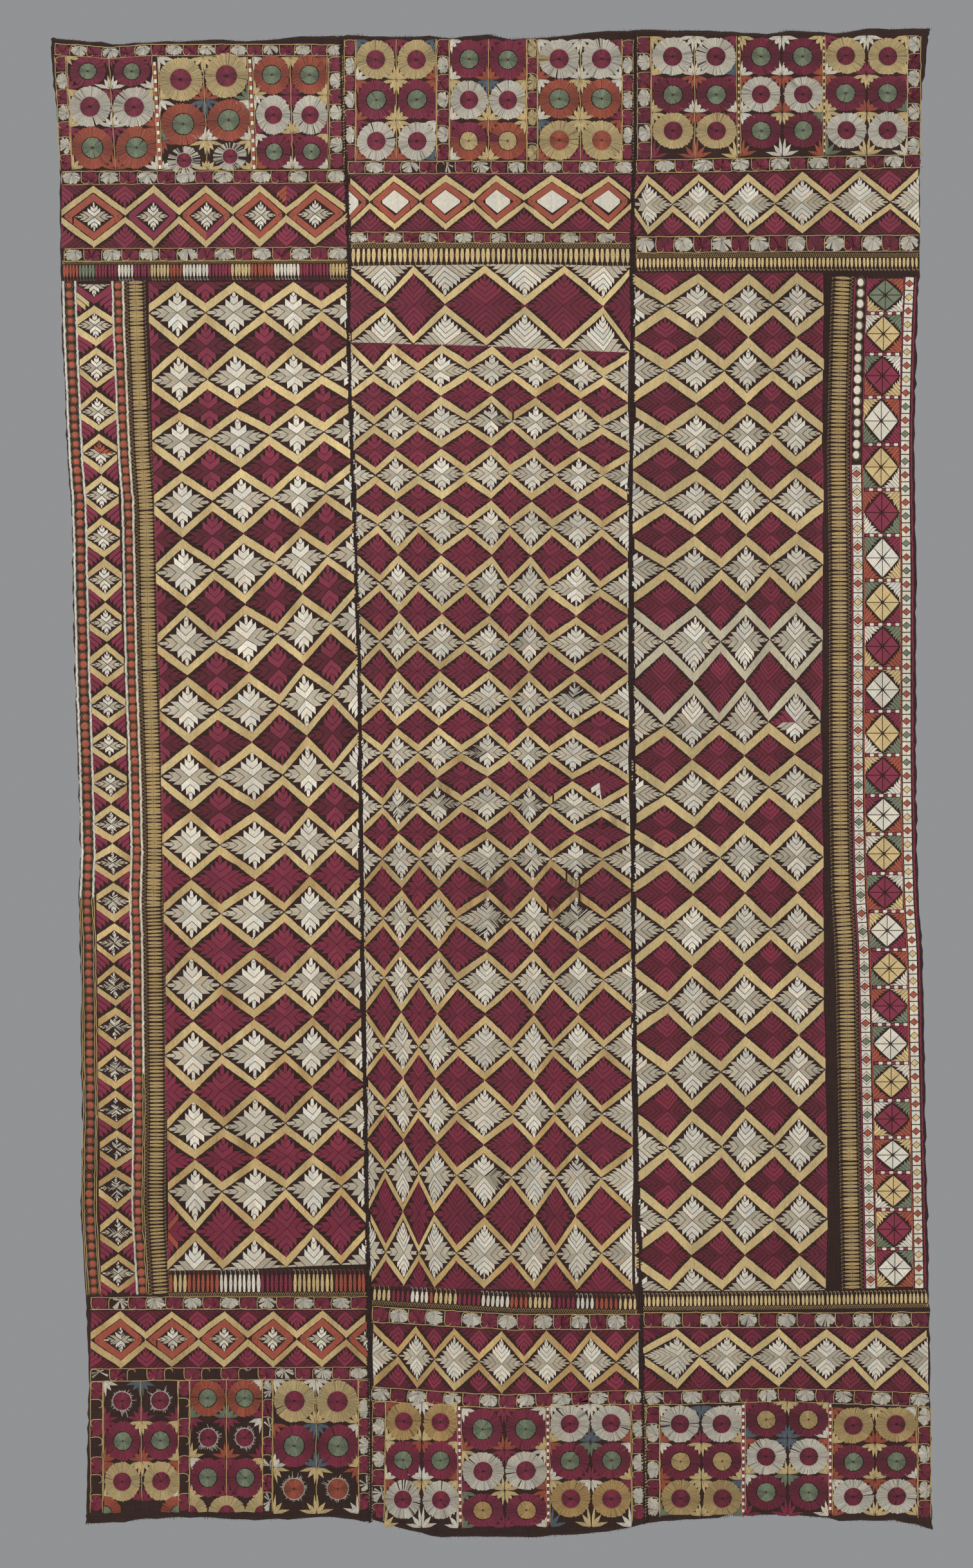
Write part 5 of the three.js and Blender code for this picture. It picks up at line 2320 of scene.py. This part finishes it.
@dataclass(frozen=True)
class RightBorder:
    """Side border of pinwheels between bands of small diamonds, and its comb."""

    top: float = 430.0
    foot: float = 2003.0
    turn: float = 722.0
    outer_rail: float = -5.4
    diamonds: float = -15.2
    inner_rails: tuple[float, float] = (-23.8, -81.0)
    pinwheels: float = -52.5
    ovals: float = -90.8
    comb_rail: float = -99.6
    comb_foot: float = -108.0
    comb_bar: float = 26.0
    comb_pitch: float = 6.0
    heights: tuple[float, ...] = (
        453, 521, 580, 655, 727, 795, 869, 935, 1006, 1071, 1140, 1207, 1266, 1327, 1388, 1445, 1507, 1562,
        1623, 1682, 1739, 1797, 1848, 1912, 1970,
    )
    cycle: tuple[Dye, ...] = (Dye.WHITE, Dye.GOLD, Dye.MAGENTA)
    first: tuple[Dye, ...] = (Dye.GREEN, Dye.GOLD, Dye.MAGENTA)

    def _route(self, offset: float, top: float, foot: float) -> Track:
        """A line down the border."""
        stations = np.linspace(top, foot, max(3, round((foot - top) / 70)))
        return Track(*edge_route(OUTER_RIGHT, offset, stations))

    def _lines(self, seed: int) -> Needlework:
        """Works the rails, the ovals, the bands of small diamonds and the comb."""
        work = Needlework("right_border_lines", seed)
        hand = Stitcher(work)
        hand.rail(self._route(self.outer_rail, self.top, self.foot), 3.8, Dye.MAGENTA)
        hand.rail(self._route(self.comb_rail, self.top, self.foot), 3.4, Dye.MAGENTA)
        for offset in self.inner_rails:
            hand.rail(self._route(offset, self.top, self.turn), 2.6, Dye.MAGENTA)
            hand.rail(self._route(offset, self.turn, self.foot), 2.6, Dye.ORANGE)
        hand.beads(self._route(self.ovals, self.top, self.turn - 6), 16.8, (5.4, 6.9), Dye.WHITE)
        inner = self._route(self.ovals, self.turn, self.foot)
        outer = self._route(self.diamonds, self.top, self.foot)
        self._diamond_band(hand, inner, 28.6, 14.0, (5.8, 5.6), True)
        self._diamond_band(hand, outer, 21.4, 12.6, (5.6, 5.2), False)
        route = edge_route(OUTER_RIGHT, self.comb_foot, np.linspace(self.top, self.foot, 24))
        dyes = ((2000, Dye.OLD_GOLD),)
        hand.comb(Comb(route, self.comb_bar, self.comb_pitch, dyes, 5.5, 1.6, 4.7, 0.78, 0.87, 1))
        return work

    @staticmethod
    def _diamond_band(
        hand: Stitcher, track: Track, pitch: float, width: float, size: Point, framed: bool
    ) -> None:
        """Works a pale band of small diamonds in two dyes by turns.

        Args:
            hand: what lays the motifs.
            track: middle of the band.
            pitch: distance from diamond to diamond.
            width: width of the band.
            size: half the width and half the height of a diamond.
            framed: whether a pale frame surrounds each diamond.
        """
        count = round(track.length / pitch)
        step = track.length / count
        for number in range(count):
            along = (number + 0.5) * step
            y = track.place(along)[1]
            green = (y > 1215) if framed else (600 < y < 1200)
            dyes = (Dye.ORANGE, Dye.GREEN if green else Dye.GOLD)
            hand.lozenge(track, along, step, width, size, dyes[number % 2], framed)

    def _pinwheels(self, seed: int) -> Needlework:
        """Works the pinwheels, the leaves in their corners and the dashes between them."""
        work = Needlework("right_border_pinwheels", seed)
        hand = Stitcher(work)
        limits = [self.top] + [(a + b) / 2 for a, b in zip(self.heights[:-1], self.heights[1:])] + [self.foot]
        palette = (Dye.MAGENTA, Dye.WHITE, Dye.ORANGE, Dye.GREEN, Dye.GOLD)
        for number, (top, foot) in enumerate(zip(limits[:-1], limits[1:])):
            x = edge_route(OUTER_RIGHT, self.pinwheels, (self.heights[number],))[0][0]
            cell = Cell((x, (top + foot) / 2), 55.0, foot - top - 6.5)
            dye = self.first[number] if number < 3 else self.cycle[number % 3]
            hand.pinwheel(cell, dye)
            others = [choice for choice in palette if choice is not dye]
            picks = [others[(number + turn) % 4] for turn in (0, 2, 3, 1)]
            hand.sprays(cell, picks)
            if number:
                line = Track((x - 26.5, top), (x + 26.5, top))
                hand.dashes(line, 4.2, (Dye.MAGENTA, Dye.WHITE), 8)
        return work

    def build(self, seed: int, finishes: Sequence[Material]) -> list[Object]:
        """Works the border as two pieces."""
        return [self._lines(seed).build(*finishes), self._pinwheels(seed + 1).build(*finishes)]


# Finishes


class Nodes:
    """Places shader nodes and links them."""

    def __init__(self, tree: NodeTree) -> None:
        """Takes the tree that the nodes go to."""
        self.tree = tree

    def add(self, kind: str, **settings: object) -> Node:
        """Adds a node: settings that name an input set it, and the others are the node's own."""
        node = self.tree.nodes.new(kind)
        for name, value in settings.items():
            label = name.replace("_", " ").title()
            if label in node.inputs:
                node.inputs[label].default_value = value
            else:
                setattr(node, name, value)
        return node

    def link(self, source: NodeSocket, target: NodeSocket) -> None:
        """Links one socket to another."""
        self.tree.links.new(source, target)

    def sum(self, operation: str, *values: object) -> NodeSocket:
        """Adds a Math node on numbers or sockets, and returns its result."""
        node = self.tree.nodes.new("ShaderNodeMath")
        node.operation = operation
        for place, value in enumerate(values):
            if isinstance(value, NodeSocket):
                self.link(value, node.inputs[place])
            else:
                node.inputs[place].default_value = value
        return node.outputs[0]


def make_group(
    name: str, inputs: Sequence[tuple[str, str, object]], outputs: Sequence[tuple[str, str]]
) -> Nodes:
    """Starts a shader node group.

    Args:
        name: the group's name.
        inputs: name, socket type and starting value of each input.
        outputs: name and socket type of each output.

    Returns:
        The group's nodes, with its input and output nodes named Start and End.
    """
    tree = bpy.data.node_groups.new(name, "ShaderNodeTree")
    for label, kind, value in inputs:
        socket = tree.interface.new_socket(name=label, in_out="INPUT", socket_type=kind)
        if value is not None:
            socket.default_value = value
    for label, kind in outputs:
        tree.interface.new_socket(name=label, in_out="OUTPUT", socket_type=kind)
    nodes = Nodes(tree)
    nodes.add("NodeGroupInput", name="Start")
    nodes.add("NodeGroupOutput", name="End")
    return nodes


# How much slower streaks change along a thread than across, and from where and how sharply soil shows
ALONG_SHARE = 0.19
SOIL_START = 0.46
SOIL_CONTRAST = 4.0


def thread_streaks() -> NodeTree:
    """Fine streaks along a bundle of thread, from the thread map in millimetres."""
    nodes = make_group(
        "thread streaks",
        (("Thread", "NodeSocketVector", None), ("Fineness", "NodeSocketFloat", 3.0),
         ("Depth", "NodeSocketFloat", 0.25)),
        (("Tone", "NodeSocketFloat"), ("Height", "NodeSocketFloat")),
    )
    start, end = nodes.tree.nodes["Start"], nodes.tree.nodes["End"]
    split = nodes.add("ShaderNodeSeparateXYZ")
    nodes.link(start.outputs["Thread"], split.inputs[0])
    place = nodes.add("ShaderNodeCombineXYZ")
    nodes.link(nodes.sum("MULTIPLY", split.outputs[0], start.outputs["Fineness"]), place.inputs[0])
    nodes.link(nodes.sum("MULTIPLY", split.outputs[1], ALONG_SHARE), place.inputs[1])
    noise = nodes.add("ShaderNodeTexNoise", scale=1.0, detail=3.0, roughness=0.65)
    nodes.link(place.outputs[0], noise.inputs["Vector"])
    spread = nodes.sum("MULTIPLY", nodes.sum("SUBTRACT", noise.outputs[0], 0.5), 2.0)
    tone = nodes.sum("ADD", nodes.sum("MULTIPLY", spread, start.outputs["Depth"]), 1.0)
    nodes.link(tone, end.inputs["Tone"])
    nodes.link(noise.outputs[0], end.inputs["Height"])
    return nodes.tree


def handling() -> NodeTree:
    """Soil, fading and rubbing of an old cloth, over its whole surface."""
    nodes = make_group(
        "handling",
        (("Color", "NodeSocketColor", (1.0, 1.0, 1.0, 1.0)), ("Soil", "NodeSocketFloat", 0.25),
         ("Fading", "NodeSocketFloat", 0.12)),
        (("Color", "NodeSocketColor"),),
    )
    start, end = nodes.tree.nodes["Start"], nodes.tree.nodes["End"]
    where = nodes.add("ShaderNodeTexCoord")
    soil = nodes.add("ShaderNodeTexNoise", scale=7.0, detail=5.0, roughness=0.62)
    nodes.link(where.outputs["Object"], soil.inputs["Vector"])
    patch = nodes.sum("MULTIPLY", nodes.sum("SUBTRACT", soil.outputs[0], SOIL_START), SOIL_CONTRAST)
    held = nodes.sum("MINIMUM", nodes.sum("MAXIMUM", patch, 0.0), 1.0)
    stained = nodes.add("ShaderNodeMix", data_type="RGBA", blend_type="MULTIPLY")
    nodes.link(nodes.sum("MULTIPLY", held, start.outputs["Soil"]), stained.inputs["Factor"])
    nodes.link(start.outputs["Color"], stained.inputs[6])
    stained.inputs[7].default_value = (0.55, 0.48, 0.42, 1.0)
    light = nodes.add("ShaderNodeTexNoise", scale=2.6, detail=3.0, roughness=0.5)
    nodes.link(where.outputs["Object"], light.inputs["Vector"])
    faded = nodes.sum("MULTIPLY", nodes.sum("SUBTRACT", light.outputs[0], 0.5), start.outputs["Fading"])
    bright = nodes.add("ShaderNodeHueSaturation")
    nodes.link(nodes.sum("ADD", nodes.sum("MULTIPLY", faded, 4.0), 1.0), bright.inputs["Value"])
    nodes.link(stained.outputs[2], bright.inputs["Color"])
    nodes.link(bright.outputs[0], end.inputs["Color"])
    return nodes.tree


def plain_weave() -> NodeTree:
    """Relief and slubs of a plain hand-loom weave, from the thread map in millimetres."""
    nodes = make_group(
        "plain weave",
        (("Thread", "NodeSocketVector", None), ("Pitch", "NodeSocketFloat", 0.9)),
        (("Height", "NodeSocketFloat"), ("Slub", "NodeSocketFloat")),
    )
    start, end = nodes.tree.nodes["Start"], nodes.tree.nodes["End"]
    split = nodes.add("ShaderNodeSeparateXYZ")
    nodes.link(start.outputs["Thread"], split.inputs[0])
    waves = []
    for axis in (0, 1):
        turns = nodes.sum("DIVIDE", split.outputs[axis], start.outputs["Pitch"])
        waves.append(nodes.sum("SINE", nodes.sum("MULTIPLY", turns, math.pi)))
    weave = nodes.sum("MULTIPLY", waves[0], waves[1])
    nodes.link(nodes.sum("ABSOLUTE", weave), end.inputs["Height"])
    slubs = []
    for scales in ((0.9, 0.03), (0.03, 0.9)):
        place = nodes.add("ShaderNodeCombineXYZ")
        for axis in (0, 1):
            nodes.link(nodes.sum("MULTIPLY", split.outputs[axis], scales[axis]), place.inputs[axis])
        noise = nodes.add("ShaderNodeTexNoise", scale=1.0, detail=1.0)
        nodes.link(place.outputs[0], noise.inputs["Vector"])
        slubs.append(noise.outputs[0])
    nodes.link(nodes.sum("MULTIPLY", nodes.sum("ADD", *slubs), 0.5), end.inputs["Slub"])
    return nodes.tree


@dataclass(frozen=True)
class Finish:
    """What every finish has: its gloss and sheen, its relief in metres, and its soil and fading."""

    name: str
    roughness: float
    sheen: float
    bump: float
    soil: float
    specular: float = 0.35
    sheen_spread: float = 0.4
    relief: float = 0.0004
    fading: float = 0.10

    def start(self) -> tuple[Material, Nodes]:
        """Starts the material, with its gloss and sheen set."""
        material = bpy.data.materials.new(self.name)
        material.use_nodes = True
        inputs = material.node_tree.nodes["Principled BSDF"].inputs
        inputs["Roughness"].default_value = self.roughness
        inputs["Sheen Weight"].default_value = self.sheen
        inputs["Sheen Roughness"].default_value = self.sheen_spread
        inputs["Specular IOR Level"].default_value = self.specular
        return material, Nodes(material.node_tree)

    def close(
        self, nodes: Nodes, wear: NodeTree, colour: NodeSocket,
        height: NodeSocket,
    ) -> None:
        """Soils and fades the colour and adds the relief.

        Args:
            nodes: the material's nodes.
            wear: the group for soil and fading.
            colour: the clean colour.
            height: the height of the surface.
        """
        shader = nodes.tree.nodes["Principled BSDF"]
        worn = nodes.add("ShaderNodeGroup", node_tree=wear, soil=self.soil, fading=self.fading)
        nodes.link(colour, worn.inputs["Color"])
        nodes.link(worn.outputs["Color"], shader.inputs["Base Color"])
        bump = nodes.add("ShaderNodeBump", strength=self.bump, distance=self.relief)
        nodes.link(height, bump.inputs["Height"])
        nodes.link(bump.outputs[0], shader.inputs["Normal"])


@dataclass(frozen=True)
class ThreadFinish(Finish):
    """A thread's finish, with how fine and how deep its streaks are."""

    fineness: float = 5.0
    depth: float = 0.15

    def make(self, streaks: NodeTree, wear: NodeTree) -> Material:
        """Makes the material, coloured by the piece's own dye attribute.

        Args:
            streaks: the group for the streaks along a thread.
            wear: the group for soil and fading.

        Returns:
            The finished material.
        """
        material, nodes = self.start()
        dye = nodes.add("ShaderNodeAttribute", attribute_name=DYE_LAYER)
        thread = nodes.add("ShaderNodeUVMap", uv_map=THREAD_MAP)
        strands = nodes.add("ShaderNodeGroup", node_tree=streaks, fineness=self.fineness, depth=self.depth)
        nodes.link(thread.outputs[0], strands.inputs["Thread"])
        toned = nodes.add("ShaderNodeHueSaturation")
        nodes.link(dye.outputs["Color"], toned.inputs["Color"])
        nodes.link(strands.outputs["Tone"], toned.inputs["Value"])
        self.close(nodes, wear, toned.outputs[0], strands.outputs["Height"])
        return material


@dataclass(frozen=True)
class KhaddarFinish(Finish):
    """Dark hand-loom cotton, a little faded, with the pitch of its weave in millimetres."""

    ground: Dye = Dye.GROUND
    faded: Dye = Dye.SOOT
    pitch: float = 0.9

    def make(self, weave: NodeTree, wear: NodeTree) -> Material:
        """Makes the material, woven on the piece's own thread map.

        Args:
            weave: the group for the weave and its slubs.
            wear: the group for soil and fading.

        Returns:
            The finished material.
        """
        material, nodes = self.start()
        thread = nodes.add("ShaderNodeUVMap", uv_map=THREAD_MAP)
        woven = nodes.add("ShaderNodeGroup", node_tree=weave, pitch=self.pitch)
        nodes.link(thread.outputs[0], woven.inputs["Thread"])
        mix = nodes.add("ShaderNodeMix", data_type="RGBA")
        mix.inputs[6].default_value = (*linear(self.ground, 0.8), 1.0)
        mix.inputs[7].default_value = (*linear(self.faded, 0.9), 1.0)
        share = nodes.sum("MULTIPLY", nodes.sum("SUBTRACT", woven.outputs["Slub"], 0.36), 1.9)
        nodes.link(share, mix.inputs["Factor"])
        self.close(nodes, wear, mix.outputs[2], woven.outputs["Height"])
        return material


KHADDAR = KhaddarFinish("khaddar", 0.92, 0.12, 0.6, 0.3, 0.2, sheen_spread=0.5, relief=0.0005, fading=0.2)
SILK = ThreadFinish("silk_floss", 0.52, 0.08, 0.55, 0.26, fineness=1.1, depth=0.75)
COTTON_CORD = ThreadFinish("cotton_cord", 0.75, 0.15, 0.5, 0.2, depth=0.18)
SEWING_THREAD = ThreadFinish("sewing_thread", 0.85, 0.1, 0.4, 0.2)


@dataclass(frozen=True)
class Studio:
    """Camera, soft lights, background and floor, in metres."""

    aim: tuple[float, float, float] = (-0.008, 0.0, -1.1655)
    distance: float = 8.0
    frame_height: float = 2.437
    sensor: float = 36.0
    backdrop: float = 0.287
    floor_z: float = -3.0
    floor_size: tuple[float, float, float] = (12.0, 13.4, 1.0)
    floor_back: float = -3.0
    floor_tint: tuple[float, float, float, float] = (0.55, 0.54, 0.52, 1.0)

    def camera(self) -> None:
        """Sets the camera straight in front of the cloth."""
        lens = bpy.data.cameras.new("camera")
        lens.sensor_width = self.sensor
        lens.lens = self.sensor * self.distance / self.frame_height
        lens.clip_end = 60.0
        camera = add_object("camera", lens)
        camera.location = (self.aim[0], -self.distance, self.aim[2])
        camera.rotation_euler = (math.radians(90), 0, 0)
        bpy.context.scene.camera = camera

    def lights(self) -> None:
        """Sets large soft lights in front and weaker ones behind."""
        plans = (
            ("key_light", (-3.6, -4.6, 1.6), 3.0, 224.0), ("fill_light", (4.0, -5.4, -0.6), 3.6, 146.0),
            ("rear_light", (2.5, 5.0, 1.5), 3.0, 220.0), ("rear_fill", (-3.5, 5.0, -0.5), 3.0, 110.0),
        )
        for name, place, size, power in plans:
            light = bpy.data.lights.new(name, "AREA")
            light.size = size
            light.energy = power
            lamp = add_object(name, light)
            lamp.location = place
            aim = Vector(self.aim) - Vector(place)
            lamp.rotation_euler = aim.to_track_quat("-Z", "Y").to_euler()
            lamp.visible_camera = False

    def surround(self) -> None:
        """Sets the plain grey background and a pale floor well below the cloth."""
        world = bpy.data.worlds.new("plain grey")
        world.use_nodes = True
        grey = (self.backdrop, self.backdrop * 1.01, self.backdrop * 1.03, 1.0)
        world.node_tree.nodes["Background"].inputs["Color"].default_value = grey
        bpy.context.scene.world = world
        form = bmesh.new()
        bmesh.ops.create_grid(form, x_segments=1, y_segments=1, size=0.5)
        bmesh.ops.scale(form, vec=self.floor_size, verts=form.verts)
        bmesh.ops.translate(form, vec=(0.0, self.floor_back, self.floor_z), verts=form.verts)
        mesh = bpy.data.meshes.new("floor")
        form.to_mesh(mesh)
        form.free()
        paint = bpy.data.materials.new("pale_floor")
        paint.use_nodes = True
        inputs = paint.node_tree.nodes["Principled BSDF"].inputs
        inputs["Base Color"].default_value = self.floor_tint
        inputs["Roughness"].default_value = 0.8
        mesh.materials.append(paint)
        add_object("floor", mesh)

    def build(self) -> None:
        """Sets the whole studio."""
        self.camera()
        self.lights()
        self.surround()
        bpy.context.scene.view_settings.view_transform = "Standard"


def work_fields(finishes: Sequence[Material]) -> None:
    """Works the main fields of the three lengths, each as bands, pale stars and deep stars."""
    for number, plan in enumerate(FIELDS):
        bands = Needlework(f"{plan.name}_bands", 100 + 10 * number)
        pale = Needlework(f"{plan.name}_pale_stars", 101 + 10 * number)
        deep = Needlework(f"{plan.name}_deep_stars", 102 + 10 * number)
        plan.work(bands, pale, deep)
        if plan is CENTRE_FIELD:
            CENTRE_CROWN.work(bands, pale, deep)
        for work in (bands, pale, deep):
            work.build(*finishes)


def main() -> None:
    """Builds the hanging piece by piece, and its studio."""
    logging.basicConfig(level=logging.INFO, format="%(name)s: %(message)s")
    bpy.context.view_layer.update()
    streaks, wear, weave = thread_streaks(), handling(), plain_weave()
    khaddar = KHADDAR.make(weave, wear)
    finishes = (SILK.make(streaks, wear), COTTON_CORD.make(streaks, wear))
    sewing = SEWING_THREAD.make(streaks, wear)
    for number, length in enumerate(LENGTHS):
        ClothLength(length, ClothSizes(), 11 + number).build(khaddar)
    work_fields(finishes)
    for number, end in enumerate(ENDS):
        end.build(200 + 10 * number, finishes)
    LeftBorder().build(300, finishes)
    RightBorder().build(310, finishes)
    trim = Trim(400)
    trim.seams(sewing)
    trim.fray(sewing)
    Studio().build()


if __name__ == "__main__":
    main()
